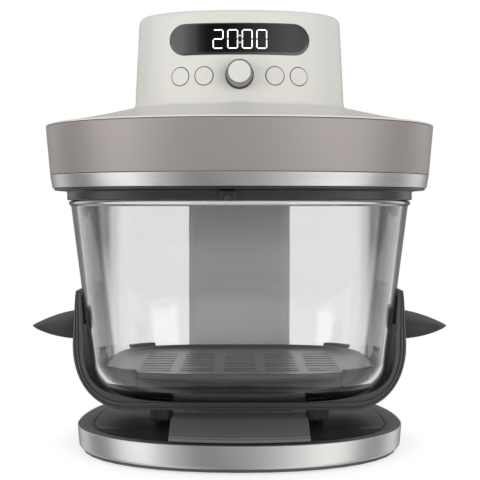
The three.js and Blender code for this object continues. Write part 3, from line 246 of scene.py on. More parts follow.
def loft(sections, count=ROUND):
    """Rings of a superellipse: x = half c, y = front s or rear s, z = height, for each section.

    c is cos t and s is sin t, each to the power 2 / n with its sign kept. A section is half, front, rear, n
    and z.
    """
    half, front, rear, power, z = np.asarray(sections, float).T[:, :, None]
    t = np.arange(count) * TURN / count
    c = signed_power(np.cos(t)[None], 2 / power)
    s = signed_power(np.sin(t)[None], 2 / power)
    return np.stack([half * c, CENTRE_Y + np.where(s < 0, front, rear) * s, z + 0 * t], -1)


def drawn_in(outline, inset, z, share=False):
    """A section of an outline (half, front, rear, n), drawn in by a length or by one share of each reach."""
    half, front, rear, power = outline
    if share:
        rest = (half - inset) / half
        return [half * rest, front * rest, rear * rest, power, z]
    return [half - inset, front - inset, rear - inset, power, z]


def outline_section(outline):
    """A function that gives an outline's section at a height, with the same length taken off each reach."""
    return lambda inset, z: drawn_in(outline, inset, z)


def scaled_section(outline):
    """The same, but with one share taken off each reach, so that the outline keeps its proportions."""
    return lambda inset, z: drawn_in(outline, inset, z, share=True)


def on_axis(z):
    """A section shrunk to a point on the bowl's axis."""
    return [0, 0, 0, 2, z]


def turned(profile, count=64):
    """A profile of radius and height turned about the Z axis: x = r cos t, y = r sin t, z = h."""
    radius, height = np.asarray(profile, float).T[:, :, None]
    t = np.arange(count) * TURN / count
    return np.stack([radius * np.cos(t), radius * np.sin(t), height + 0 * t], -1)


def carried(path, profile, up, closed=False):
    """A closed profile carried along a path: P = path + a side + b up, with side at right angles to both."""
    path, up = np.asarray(path, float), np.asarray(up, float)
    if closed:
        tangent = np.roll(path, -1, 0) - np.roll(path, 1, 0)
    else:
        tangent = np.gradient(path, axis=0)
    side = np.cross(tangent, np.broadcast_to(up, path.shape))
    side /= np.linalg.norm(side, axis=1, keepdims=True)
    raised = np.cross(side, tangent)
    raised /= np.linalg.norm(raised, axis=1, keepdims=True)
    a, b = np.asarray(profile, float).T[:, None, :, None]
    return path[:, None] + a * side[:, None] + b * raised[:, None]


def ring_profile(radius_a, radius_b, count=12):
    """A closed ellipse for a wire or a tube: a = A cos t, b = B sin t."""
    t = np.arange(count) * TURN / count
    return np.stack([radius_a * np.cos(t), radius_b * np.sin(t)], -1)


def rounded_bar(low, high, radius, power=6, count=48):
    """A box with soft edges between two corners, as a stack of superellipses about its own centre along Z."""
    low, high = np.asarray(low, float), np.asarray(high, float)
    half, middle = (high - low) / 2, (high + low) / 2
    turn = np.linspace(0, math.pi / 2, 5)
    draw = radius * (1 - np.sin(turn))
    rise = half[2] - radius * (1 - np.cos(turn))
    levels = np.concatenate([-rise, rise[::-1]])
    inset = np.concatenate([draw, draw[::-1]])
    t = np.arange(count) * TURN / count
    c, s = signed_power(np.cos(t), 2 / power), signed_power(np.sin(t), 2 / power)
    x = middle[0] + (half[0] - inset)[:, None] * c
    y = middle[1] + (half[1] - inset)[:, None] * s
    z = middle[2] + levels[:, None] + 0 * t
    ends = [np.broadcast_to([middle[0], middle[1], z[k, 0]], (1, count, 3)) for k in (0, -1)]
    return np.concatenate([ends[0], np.stack([x, y, z], -1), ends[1]])


def faces_of(rows, columns, wrap_rows, start):
    """Four-cornered faces of a grid of points whose columns meet, and whose rows meet where asked."""
    index = start + np.arange(rows * columns).reshape(rows, columns)
    if wrap_rows:
        index = np.concatenate([index, index[:1]])
    index = np.concatenate([index, index[:, :1]], 1)
    return np.stack([index[:-1, :-1], index[1:, :-1], index[1:, 1:], index[:-1, 1:]], -1).reshape(-1, 4)


def grid(points, wrap_rows=False, caps=False):
    """A grid of points, closed along its rows, with what closes its ends: they meet, or get a face each."""
    return points, wrap_rows, caps


def hoop(sections, radii, count=ROUND):
    """A closed line of sections, its corners rounded by the radii, carried once round the bowl's axis."""
    return grid(loft(softened(sections, radii, closed=True), count), wrap_rows=True)


def prism(line, levels):
    """A closed line of x and y repeated at each level: P = (x, y, z)."""
    line, z = np.asarray(line, float), np.asarray(levels, float)[:, None]
    return grid(np.stack([line[:, 0] + 0 * z, line[:, 1] + 0 * z, z + 0 * line[:, 0]], -1), caps=True)


def mesh_of(name, grids):
    """One mesh from grids of points: doubles merged and normals outwards."""
    points, faces, count = [], [], 0
    for array, wrap_rows, caps in grids:
        rows, columns = array.shape[:2]
        points.append(array.reshape(-1, 3))
        faces += faces_of(rows, columns, wrap_rows, count).tolist()
        if caps:
            faces.append(list(range(count, count + columns)))
            faces.append(list(range(count + (rows - 1) * columns, count + rows * columns)))
        count += rows * columns
    mesh = bpy.data.meshes.new(name)
    mesh.from_pydata(np.concatenate(points).tolist(), [], faces)
    form = bmesh.new()
    form.from_mesh(mesh)
    bmesh.ops.remove_doubles(form, verts=form.verts, dist=MERGE)
    bmesh.ops.dissolve_degenerate(form, edges=form.edges, dist=MERGE / 2)
    loose = [v for v in form.verts if not v.link_faces]
    bmesh.ops.delete(form, geom=loose, context="VERTS")
    bmesh.ops.recalc_face_normals(form, faces=form.faces)
    form.to_mesh(mesh)
    form.free()
    return mesh


def piece(name, grids, material, body, replaces=(), sharp=35, tools=()):
    """Makes a finished piece: its mesh less what the tools cut out of it.

    It gets its material, the body that it rides on and the frame nodes that it stands for.
    """
    made = bpy.data.objects.new(name, mesh_of(name, grids))
    bpy.context.scene.collection.objects.link(made)
    for number, tool in enumerate(tools):
        cutter = bpy.data.objects.new(f"{name}_tool_{number}", mesh_of("tool", tool))
        bpy.context.scene.collection.objects.link(cutter)
        cut = made.modifiers.new("cut", "BOOLEAN")
        cut.object, cut.operation, cut.solver = cutter, "DIFFERENCE", "EXACT"
        graph = bpy.context.evaluated_depsgraph_get()
        result = bpy.data.meshes.new_from_object(made.evaluated_get(graph))
        made.modifiers.clear()
        made.data = result
        bpy.data.objects.remove(cutter)
    made.data.name = name
    made.data.materials.clear()
    made.data.materials.append(material)
    made.data.shade_smooth()
    made.data.set_sharp_from_angle(angle=math.radians(sharp))
    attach(made, body)
    if replaces:
        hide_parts(*replaces)
    return made


def placed(points, frame_matrix):
    """Points moved by a 4 by 4 matrix."""
    return points @ frame_matrix[:3, :3].T + frame_matrix[:3, 3]


def add_node(tree, kind, inputs=None, **settings):
    """Adds a shader node with its settings, and fills its sockets with values or with links."""
    made = tree.nodes.new(kind)
    for name, value in settings.items():
        setattr(made, name, value)
    for name, value in (inputs or {}).items():
        if isinstance(value, bpy.types.NodeSocket):
            tree.links.new(value, made.inputs[name])
        else:
            made.inputs[name].default_value = value
    return made


def new_finish(name, **shader_values):
    """An empty material with one Principled shader; returns the material, its tree and the shader."""
    material = bpy.data.materials.new(name)
    material.use_nodes = True
    tree = material.node_tree
    tree.nodes.clear()
    shader = add_node(tree, "ShaderNodeBsdfPrincipled",
                      {key.replace("_", " "): value for key, value in shader_values.items()})
    add_node(tree, "ShaderNodeOutputMaterial", {"Surface": shader.outputs["BSDF"]})
    return material, tree, shader


def output_of(tree, output, kind, inputs=None, **settings):
    """Adds a shader node and gives the named one of its outputs."""
    return add_node(tree, kind, inputs, **settings).outputs[output]


def mapped(tree, value, low, high, to_low=0.0, to_high=1.0, smooth=False):
    """A value between low and high turned to one between to_low and to_high, evenly or by a smooth step."""
    inputs = {"Value": value, "From Min": low, "From Max": high, "To Min": to_low, "To Max": to_high}
    way = "SMOOTHSTEP" if smooth else "LINEAR"
    return output_of(tree, "Result", "ShaderNodeMapRange", inputs, interpolation_type=way)


def computed(tree, operation, *values, **settings):
    """What a Math node makes of its values."""
    inputs = dict(enumerate(values))
    return output_of(tree, "Value", "ShaderNodeMath", inputs, operation=operation, **settings)


def blended(tree, share, first, second, way="MIX"):
    """Two colours mixed by a share from 0 to 1."""
    inputs = {0: share, 6: first, 7: second}
    return add_node(tree, "ShaderNodeMix", inputs, data_type="RGBA", blend_type=way).outputs[2]


def split(tree, vector):
    """The X, Y and Z of a vector, as outputs by name."""
    return add_node(tree, "ShaderNodeSeparateXYZ", {"Vector": vector}).outputs


def pattern(tree, size, stretch=(1, 1, 1), detail=2.0, kind="ShaderNodeTexNoise", output="Fac", **settings):
    """A pattern on Object coordinates: cells about size metres wide, drawn out along the axes by stretch."""
    place = output_of(tree, "Object", "ShaderNodeTexCoord")
    scale = [1 / (size * s) for s in stretch]
    scaled = output_of(tree, "Vector", "ShaderNodeMapping", {"Vector": place, "Scale": scale})
    inputs = {"Vector": scaled, "Scale": 1.0}
    if kind == "ShaderNodeTexNoise":
        inputs["Detail"] = detail
    return output_of(tree, output, kind, inputs, **settings)


def banded(tree, value, low, high):
    """A value from 0 to 1 turned to one from low to high."""
    return mapped(tree, value, 0.0, 1.0, low, high)


def toned(tree, value, base, depth):
    """The base colour, made darker and lighter by a depth either way as the value goes from 0 to 1."""
    level = banded(tree, value, 1 - depth, 1 + depth)
    return output_of(tree, "Vector", "ShaderNodeVectorMath", {0: base[:3], "Scale": level}, operation="SCALE")


def averaged(tree, first, second, share=0.5):
    """Two values mixed by a share."""
    return output_of(tree, "Result", "ShaderNodeMix", {"Factor": share, "A": first, "B": second})


def ramp(tree, value, stops):
    """A colour ramp of greys: each stop is a place from 0 to 1 and a level."""
    made = add_node(tree, "ShaderNodeValToRGB", {"Fac": value})
    made.color_ramp.interpolation = "EASE"
    points = made.color_ramp.elements
    while len(points) > 1:
        points.remove(points[-1])
    points[0].position, points[0].color = stops[0][0], (stops[0][1],) * 3 + (1,)
    for place, level in stops[1:]:
        points.new(place).color = (level,) * 3 + (1,)
    return made.outputs["Color"]


def bumped(tree, shader, value, height):
    """Gives the shader a relief of that height in metres from a value between 0 and 1."""
    inputs = {"Height": value, "Distance": height, "Strength": 1.0}
    relief = output_of(tree, "Normal", "ShaderNodeBump", inputs)
    link(tree, relief, shader, "Normal")


def link(tree, value, shader, socket):
    """Joins an output to a socket of the shader."""
    tree.links.new(value, shader.inputs[socket])


def opaque(colour):
    """A colour of three parts with full cover."""
    return tuple(colour) + (1.0,)


def base_colour(name):
    """One of the colours that a user may change."""
    return opaque(getattr(bpy.context.scene.fryer_colours, name))


def moulded(name, code, roughness, grain, depth, tone=0.02, coat=0.0):
    """Injection-moulded plastic: the spark-eroded tool leaves a fine grain, and flow a faint clouding."""
    shade, coat_roughness, cloud_size = base_colour(code), 0.25, 45 * MM
    material, tree, shader = new_finish(
        name, Base_Color=shade, Roughness=roughness, IOR=1.52,
        Coat_Weight=coat, Coat_Roughness=coat_roughness)
    fine = pattern(tree, grain, detail=3.0)
    link(tree, toned(tree, pattern(tree, cloud_size), shade, tone), shader, "Base Color")
    link(tree, banded(tree, fine, roughness - 0.05, roughness + 0.06), shader, "Roughness")
    bumped(tree, shader, fine, depth)
    return material


def stone_abs():
    """Satin ABS in stone white: soft broad highlights, grain of 0.15 mm drawn at 0.6 mm so that it shows."""
    return moulded(
        "stone_white_abs", "stone", roughness=0.38, grain=0.6 * MM, depth=0.006 * MM, tone=0.012, coat=0.12)


def charcoal_nylon():
    """Glass-filled nylon in charcoal: a matt grain of about 0.4 mm, drawn at 0.8 mm so that it shows."""
    return moulded("charcoal_nylon", "dark", roughness=0.46, grain=0.8 * MM, depth=0.012 * MM, tone=0.06)


def ring_abs():
    """ABS in dark grey, a little glossier than the cradle, with the same moulded grain."""
    return moulded("dark_grey_abs", "ring", roughness=0.42, grain=0.7 * MM, depth=0.01 * MM, tone=0.05)


def column_polypropylene():
    """Polypropylene in mid grey with a fine tool grain."""
    return moulded("mid_grey_polypropylene", "grey",
                   roughness=0.5, grain=0.8 * MM, depth=0.01 * MM, tone=0.04)


def shaded_handle_nylon():
    """The cradle's nylon, more matt for the ears, and darker there as painted shade."""
    return moulded("dark_handle_nylon", "handle", roughness=0.55, grain=0.8 * MM, depth=0.012 * MM, tone=0.06)


def lever_nylon():
    """The charcoal nylon, made lighter for the lever and the platform as painted light, with the same moulded
    grain.
    """
    return moulded("lever_nylon", "lever", roughness=0.46, grain=0.8 * MM, depth=0.012 * MM, tone=0.06)


def skirt_lacquer():
    """Charcoal nylon under a satin lacquer, which mirrors the studio softly over the moulded grain."""
    return moulded(
        "satin_black_lacquer", "lacquer",
        roughness=0.4, grain=0.9 * MM, depth=0.008 * MM, tone=0.05, coat=0.35)


def soft_rubber():
    """Nitrile rubber, moulded matt; dust and wear leave it slightly uneven in tone."""
    return moulded("nitrile_rubber", "rubber", roughness=0.8, grain=1.2 * MM, depth=0.02 * MM, tone=0.12)


def soft_silicone():
    """Liquid silicone rubber: matt with a faint waxy gloss."""
    return moulded("silicone_rubber", "silicone", roughness=0.55, grain=0.9 * MM, depth=0.008 * MM, tone=0.06)


def taupe_lacquer():
    """Metallic lacquer on ABS: aluminium flakes of 0.03 mm, drawn at 0.5 mm, glint under a satin coat."""
    shade, flake, cloud_size = base_colour("taupe"), 0.5 * MM, 60 * MM
    material, tree, shader = new_finish(
        "taupe_metallic_lacquer", Base_Color=shade, Metallic=0.45, Roughness=0.38, Coat_Weight=0.25,
        Coat_Roughness=0.3)
    flakes = pattern(tree, flake, kind="ShaderNodeTexVoronoi", output="Color")
    glint = output_of(tree, "Red", "ShaderNodeSeparateColor", {"Color": flakes})
    drawn = averaged(tree, glint, pattern(tree, cloud_size), share=0.6)
    link(tree, toned(tree, drawn, shade, 0.05), shader, "Base Color")
    link(tree, banded(tree, glint, 0.36, 0.48), shader, "Roughness")
    return material


def brushed_steel():
    """Stainless steel, belt brushed along its length: scratches about 95 mm long, drawn 0.6 mm apart."""
    shade, scratch, streak, relief = base_colour("steel"), 0.6 * MM, 1.5 * MM, 0.004 * MM
    material, tree, shader = new_finish(
        "brushed_stainless_steel", Base_Color=shade, Metallic=1.0, Roughness=0.4, Anisotropic=0.9,
        Anisotropic_Rotation=0.25)
    around = output_of(tree, "Tangent", "ShaderNodeTangent", direction_type="RADIAL", axis="Z")
    link(tree, around, shader, "Tangent")
    lines = pattern(tree, scratch, stretch=(160, 160, 1), detail=4.0)
    broad = pattern(tree, streak, stretch=(50, 50, 1), detail=3.0)
    link(tree, toned(tree, averaged(tree, lines, broad), shade, 0.15), shader, "Base Color")
    link(tree, banded(tree, lines, 0.34, 0.46), shader, "Roughness")
    bumped(tree, shader, lines, relief)
    return material


def tinted_plate_with_painted_reflection():
    """Steel sheet, brushed across and tinted bronze by a coloured lacquer; its colour is darkened further by
    a painted reflection of the dark cradle above.
    """
    shade, scratch, cloud_size = base_colour("bronze"), 0.5 * MM, 30 * MM
    material, tree, shader = new_finish(
        "bronze_tinted_steel", Base_Color=shade, Metallic=0.6, Roughness=0.34, Anisotropic=0.4)
    lines = pattern(tree, scratch, stretch=(120, 1, 1), detail=4.0)
    both = averaged(tree, lines, pattern(tree, cloud_size))
    link(tree, toned(tree, both, shade, 0.12), shader, "Base Color")
    link(tree, banded(tree, lines, 0.28, 0.44), shader, "Roughness")
    return material


def turned_aluminium():
    """Aluminium, turned and satin anodised: rings from the tool 0.1 mm apart, drawn at 0.5 mm."""
    shade, ring = base_colour("knob"), 0.5 * MM
    material, tree, shader = new_finish(
        "satin_anodised_aluminium", Base_Color=shade, Metallic=0.95, Roughness=0.32)
    lines = pattern(tree, ring, stretch=(40, 1, 40), detail=3.0)
    link(tree, toned(tree, lines, shade, 0.08), shader, "Base Color")
    link(tree, banded(tree, lines, 0.26, 0.4), shader, "Roughness")
    return material


def plain_metal(name, code, roughness, tone, size):
    """Pressed or drawn metal as it leaves the tool: a soft mottling from handling and rolling."""
    shade = opaque(linear(code))
    material, tree, shader = new_finish(name, Base_Color=shade, Metallic=1.0, Roughness=roughness)
    mottle = pattern(tree, size, detail=5.0)
    link(tree, toned(tree, mottle, shade, tone), shader, "Base Color")
    link(tree, banded(tree, mottle, roughness - 0.08, roughness + 0.1), shader, "Roughness")
    return material


def pressed_aluminium():
    """Aluminised sheet of the reflector, fan and motor case: bright, with a fine spangle."""
    return plain_metal("aluminised_sheet", "#B9BBBC", roughness=0.3, tone=0.1, size=6 * MM)


def plated_steel():
    """Zinc-plated steel of shafts, pins, bracket and guard."""
    return plain_metal("zinc_plated_steel", "#B4B3AF", roughness=0.32, tone=0.08, size=3 * MM)


def heater_sheath():
    """Nickel alloy sheath of the heater, darkened in bands by its own heat."""
    return plain_metal("heat_darkened_sheath", "#5C5550", roughness=0.42, tone=0.25, size=9 * MM)


def nonstick_coat():
    """Ceramic non-stick coat sprayed on steel: dark, satin, with a fine orange-peel of about 1 mm."""
    shade, peel_size, relief = base_colour("nonstick"), 1.0 * MM, 0.015 * MM
    material, tree, shader = new_finish(
        "ceramic_nonstick_coat", Base_Color=shade, Metallic=0.3, Roughness=0.35, IOR=1.55, Coat_Weight=0.3,
        Coat_Roughness=0.2)
    peel = pattern(tree, peel_size)
    link(tree, toned(tree, peel, shade, 0.15), shader, "Base Color")
    bumped(tree, shader, peel, relief)
    return material


# Painted shade on the glass, by how far it turns away from the eye: levels of its colour, its mirror and a
# dark streak by its corners.
GLASS_EDGE_SHADE = [(0.0, 0.95), (0.66, 0.95), (0.76, 0.04), (1.0, 0.02)]
GLASS_MIRROR_SHADE = [(0.0, 1.0), (0.62, 1.0), (0.74, 0.08), (1.0, 0.05)]
GLASS_STREAK_SHADE = [
    (0.0, 1.0), (0.2, 1.0), (0.25, 0.6), (0.3, 0.12), (0.36, 0.22), (0.45, 0.6), (0.54, 1.0), (1.0, 1.0),
]


def bowl_glass():
    """Borosilicate glass, pressed: clear, with a slow waviness of the wall that bends reflections.

    Painted shade: its colour and its mirror go dark where the wall is seen along its length, with a painted
    grey streak beside them where the corner turns, high on the front; the top of the rim is made pale and
    half clear, a painted highlight along the rim.
    """
    wave_size, wave_height = 28 * MM, 0.12 * MM
    painted_streak_low, painted_streak_high, front_half = 95 * MM, 155 * MM, 20 * MM
    rim_highlight_low, rim_highlight_high = GLASS[4] - 3.2 * MM, GLASS[4] - 1.6 * MM
    material, tree, shader = new_finish(
        "borosilicate_glass", Base_Color=opaque(linear("#F7FBFC")), Roughness=0.0, IOR=1.47,
        Transmission_Weight=1.0)
    bumped(tree, shader, pattern(tree, wave_size, stretch=(1, 1, 1.6), detail=1.0), wave_height)
    place = split(tree, output_of(tree, "Object", "ShaderNodeTexCoord"))
    away = output_of(tree, "Facing", "ShaderNodeLayerWeight", {"Blend": 0.5})
    # Painted shade: the glass's mirror is turned down where it is seen edge on.
    link(tree, ramp(tree, away, GLASS_MIRROR_SHADE), shader, "Specular Tint")
    # Painted shade: the colour darkens at grazing angles, and in the upper front a dark streak is painted
    # beside the corners.
    upper = mapped(tree, place["Z"], painted_streak_low, painted_streak_high, to_low=0.25)
    front = mapped(tree, place["Y"], CENTRE_Y + front_half, CENTRE_Y - front_half)
    share = computed(tree, "MULTIPLY", upper, front)
    depth = blended(tree, share, ramp(tree, away, GLASS_EDGE_SHADE), ramp(tree, away, GLASS_STREAK_SHADE), "MULTIPLY")
    link(tree, depth, shader, "Base Color")
    # Painted highlight: the top of the rim is made pale and half clear.
    rim_highlight = mapped(tree, place["Z"], rim_highlight_low, rim_highlight_high, 1.0, 0.35)
    link(tree, rim_highlight, shader, "Transmission Weight")
    body = add_node(tree, "ShaderNodeVolumeAbsorption", {"Color": (0.635, 0.65, 0.65, 1), "Density": 55.0})
    output = next(n for n in tree.nodes if n.type == "OUTPUT_MATERIAL")
    tree.links.new(body.outputs["Volume"], output.inputs["Volume"])
    return material


def smoked_window():
    """Smoked acrylic over the display with a hard mirror coat; the grain of its back print just shows."""
    shade, print_grain = base_colour("screen"), 0.4 * MM
    material, tree, shader = new_finish(
        "smoked_acrylic", Base_Color=shade, Roughness=0.12, IOR=1.9, Coat_Weight=0.3, Coat_Roughness=0.06)
    link(tree, toned(tree, pattern(tree, print_grain), shade, 0.2), shader, "Base Color")
    return material


def lit_segment():
    """White light-emitting segments seen through the window, a trace uneven along their bars."""
    unevenness = 3 * MM
    material, tree, shader = new_finish(
        "lit_segments", Base_Color=opaque(linear("#F4F7F8")), Roughness=0.4,
        Emission_Color=opaque(linear("#FFFFFF")))
    link(tree, banded(tree, pattern(tree, unevenness), 0.85, 1.0), shader, "Emission Strength")
    return material


def solder_mask():
    """Epoxy board under green solder mask, with a faint pattern of tracks 2 mm apart."""
    shade, pitch = opaque(linear("#2F5A3C")), 2 * MM
    material, tree, shader = new_finish("green_solder_mask", Base_Color=shade, Roughness=0.4, IOR=1.55)
    tracks = pattern(tree, pitch, kind="ShaderNodeTexVoronoi", output="Distance", distance="MANHATTAN")
    link(tree, toned(tree, tracks, shade, 0.2), shader, "Base Color")
    return material


FINISHES = {
    "stone_white": stone_abs, "taupe_coat": taupe_lacquer, "brushed_steel": brushed_steel,
    "dark_plastic": charcoal_nylon, "skirt_lacquer": skirt_lacquer, "handle": shaded_handle_nylon,
    "lever": lever_nylon, "ring_plastic": ring_abs, "bronze_plate": tinted_plate_with_painted_reflection,
    "grey_plastic": column_polypropylene, "rubber": soft_rubber, "silicone": soft_silicone,
    "clear_glass": bowl_glass, "screen": smoked_window, "lit": lit_segment,
    "knob_metal": turned_aluminium, "aluminium": pressed_aluminium, "plated": plated_steel,
    "heater_tube": heater_sheath, "nonstick_plate": nonstick_coat, "circuit_board": solder_mask,
}
MADE_FINISHES = {}


def finish(name):
    """The material of a finish, made the first time that it is asked for."""
    if name not in MADE_FINISHES:
        MADE_FINISHES[name] = FINISHES[name]()
    return MADE_FINISHES[name]


class FRYER_OT_base(bpy.types.Operator):
    """Base: brushed band, dark ring, tinted metal plate and rubber feet"""

    bl_idname = "fryer.base"
    bl_label = "Base"

    def execute(self, context):
        self.band()
        self.ring()
        self.plate()
        self.feet()
        return {"FINISHED"}

    def band(self):
        """Profile: rolled bottom edge, drafted side, folded top, 1 mm thick, carried round the outline."""
        half, front, rear, low, high = BAND
        at = scaled_section((half, front, rear, BASE_POWER))
        wall, draft, roll = 1 * MM, 1.2 * MM, 1.5 * MM
        sections = [
            at(draft + roll, low), at(draft, low + roll), at(0, high), at(wall, high),
            at(draft + wall, low + roll), at(draft + roll + wall, low + wall / 2),
        ]
        radii = np.array([0.4, 1.2, 0.35, 0.35, 1.0, 0.2]) * MM
        piece("steel_band", [hoop(sections, radii)], finish("brushed_steel"), "root",
              ["base_band"], sharp=50)

    def ring(self):
        """Profile from base outline to plate outline: the top rises inwards, then steps down to a ledge."""
        half, front, rear = BAND[:3]
        low, high = RING[3:]
        outer = scaled_section((half, front, rear, BASE_POWER))
        inner = scaled_section((PLATE[0], PLATE[1], PLATE[2], PLATE_POWER))
        inset, foot_inset, chamfer, ledge, drop = 1.3 * MM, 1.2 * MM, 1.5 * MM, 4 * MM, 2 * MM
        crest, fall = 3 * MM, 0.3 * MM
        sections = [
            outer(inset + foot_inset, low), outer(inset, high - chamfer),
            outer(inset + chamfer, high - chamfer / 2), inner(-crest, high), inner(-GAP, high - fall),
            inner(-GAP, high - drop - GAP), inner(ledge, high - drop - GAP), inner(ledge, low),
        ]
        radii = np.array([0.2, 0.8, 1.2, 1.0, 0.3, 0.1, 0.1, 0.1]) * MM
        piece("base_rim_ring", [hoop(sections, radii)], finish("ring_plastic"), "root",
              ["base_ring"], sharp=50)

    def plate(self):
        """The plate lies between its own outline and the outline of the slot for lever and platform."""
        half, front, rear, low, high = PLATE
        slot_half, slot_front, slot_rear = PLATFORM[0] + 2 * GAP, 57.3 * MM, PLATFORM[2] + GAP
        at = scaled_section((half, front, rear, PLATE_POWER))
        slot = outline_section((slot_half, slot_front, slot_rear, SLOT_POWER))
        sections = [at(0, low), at(0, high), slot(0, high), slot(0, low)]
        radii = np.array([0.1, 1.0, 0.4, 0.1]) * MM
        piece("tinted_base_plate", [hoop(sections, radii)], finish("bronze_plate"), "root",
              ["base_plate"], sharp=50)

    def feet(self):
        """Each foot is a turned disc with a rounded rim and a shallow dish below."""
        dish, soft = 0.4 * MM, 0.5 * MM
        dish_shares = (0.6, 0.7)
        for name in ("foot_front_left", "foot_front_right", "foot_rear_left", "foot_rear_right"):
            low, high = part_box(name)
            radius = (high.x - low.x) / 2
            profile = softened([
                (0, low.z + dish), (radius * dish_shares[0], low.z + dish), (radius * dish_shares[1], low.z),
                (radius, low.z), (radius, high.z), (0, high.z),
            ], soft)
            middle = np.array([(low.x + high.x) / 2, (low.y + high.y) / 2, 0])
            made = grid(turned(profile, 48) + middle)
            piece(name + "_pad", [made], finish("rubber"), "root", [name])


class FRYER_OT_lift(bpy.types.Operator):
    """Lift: the front lever and the platform that it lowers"""

    bl_idname = "fryer.lift"
    bl_label = "Lever and platform"

    # How far in front of the bowl's centre the lever's brow, back end and throat lie, and the half widths of
    # its back end and its stem.
    brow, back, throat = 68 * MM, 46 * MM, 57 * MM
    back_half, stem_half = 43.5 * MM, 35 * MM

    def execute(self, context):
        self.platform()
        self.lever()
        return {"FINISHED"}

    def platform(self):
        """A rounded block with a shallow tray in its top and an open underside."""
        half, front, rear, low, high = PLATFORM
        at = outline_section((half, front, rear, PLATFORM_POWER))
        wall, tray, tray_edge, rim, soft = 3 * MM, 0.6 * MM, 6 * MM, 5 * MM, 0.5 * MM
        sections = [
            on_axis(high - tray), at(tray_edge, high - tray), at(rim, high), at(0, high), at(0, low),
            at(wall, low), at(wall, high - wall), on_axis(high - wall),
        ]
        piece("platform_block", [grid(loft(softened(sections, soft)))], finish("lever"), "platform_body",
              ["lift_platform"], sharp=45)

    def lever(self):
        """The wedge that a finger lifts, and the stem under it that turns on the pin."""
        piece("lift_lever", [self.wedge(), self.stem()], finish("lever"), "lever_body",
              ["lever"], sharp=40)

    def wedge(self):
        """A wedge drawn across X: each point of its side profile spans its own width.

        The lip follows the base: its points move back by E(0) - E(x), where E is the base's front edge, and
        the move fades out up the slope.
        """
        low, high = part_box("lever")
        brow, back, throat, half = self.brow, self.back, self.throat, (high.x - low.x) / 2
        top, under, front = high.z, RING[4] + GAP, CENTRE_Y - low.y
        lip, step, relief = 2.2 * MM, 3 * MM, 1.6 * MM
        lip_rise, brow_drop, brow_run = 0.7 * MM, 0.3 * MM, 7 * MM
        radii = np.array([0.1, 0.3, 0.8, 0.8, 0.3, 0.5, 3, 3, 0.8, 0.3]) * MM
        side = softened([
            (-throat, under + relief), (-throat, under), (-front, under), (-front, under + lip),
            (-front + step, under + lip), (-front + step, under + lip + lip_rise), (-brow, top - brow_drop),
            (-brow + brow_run, top), (-back, top), (-back, under + relief),
        ], radii, steps=5, closed=True)
        y, z = side[:, 0], side[:, 1]
        wide = front * 0.75
        narrowing = np.clip((y + wide) / (wide - back), 0, 1) ** 2
        spread = np.sin(np.linspace(-math.pi / 2, math.pi / 2, 61))[:, None]
        x = spread * (half - (half - self.back_half) * narrowing)
        edge = BAND[1] * (1 - (1 - np.abs(x / BAND[0]) ** BASE_POWER) ** (1 / BASE_POWER))
        fade = np.clip((-y - brow) / (front - brow), 0, 1)
        return grid(np.stack([x, CENTRE_Y + y + edge * fade, z + 0 * x], -1), caps=True)

    def stem(self):
        """A block under the wedge that comes down in a half round about the pin."""
        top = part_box("lever")[1].z
        root_depth, knuckle_z, cheek_z, foot_z, soft = 6 * MM, 12 * MM, 8.4 * MM, 7 * MM, 3 * MM
        pin_y, knuckle, cheek = 50 * MM, 5 * MM, 3.5 * MM
        line = softened([
            (-self.throat + GAP, top - root_depth), (-pin_y - knuckle, knuckle_z), (-pin_y - cheek, cheek_z),
            (-pin_y, foot_z), (-pin_y + cheek, cheek_z), (-pin_y + knuckle, knuckle_z),
            (-self.back - GAP, top - root_depth),
        ], soft, closed=True)
        x = np.array([-self.stem_half, self.stem_half])[:, None]
        y, z = CENTRE_Y + line[:, 0], line[:, 1]
        return grid(np.stack([x + 0 * y, y + 0 * x, z + 0 * x], -1), caps=True)


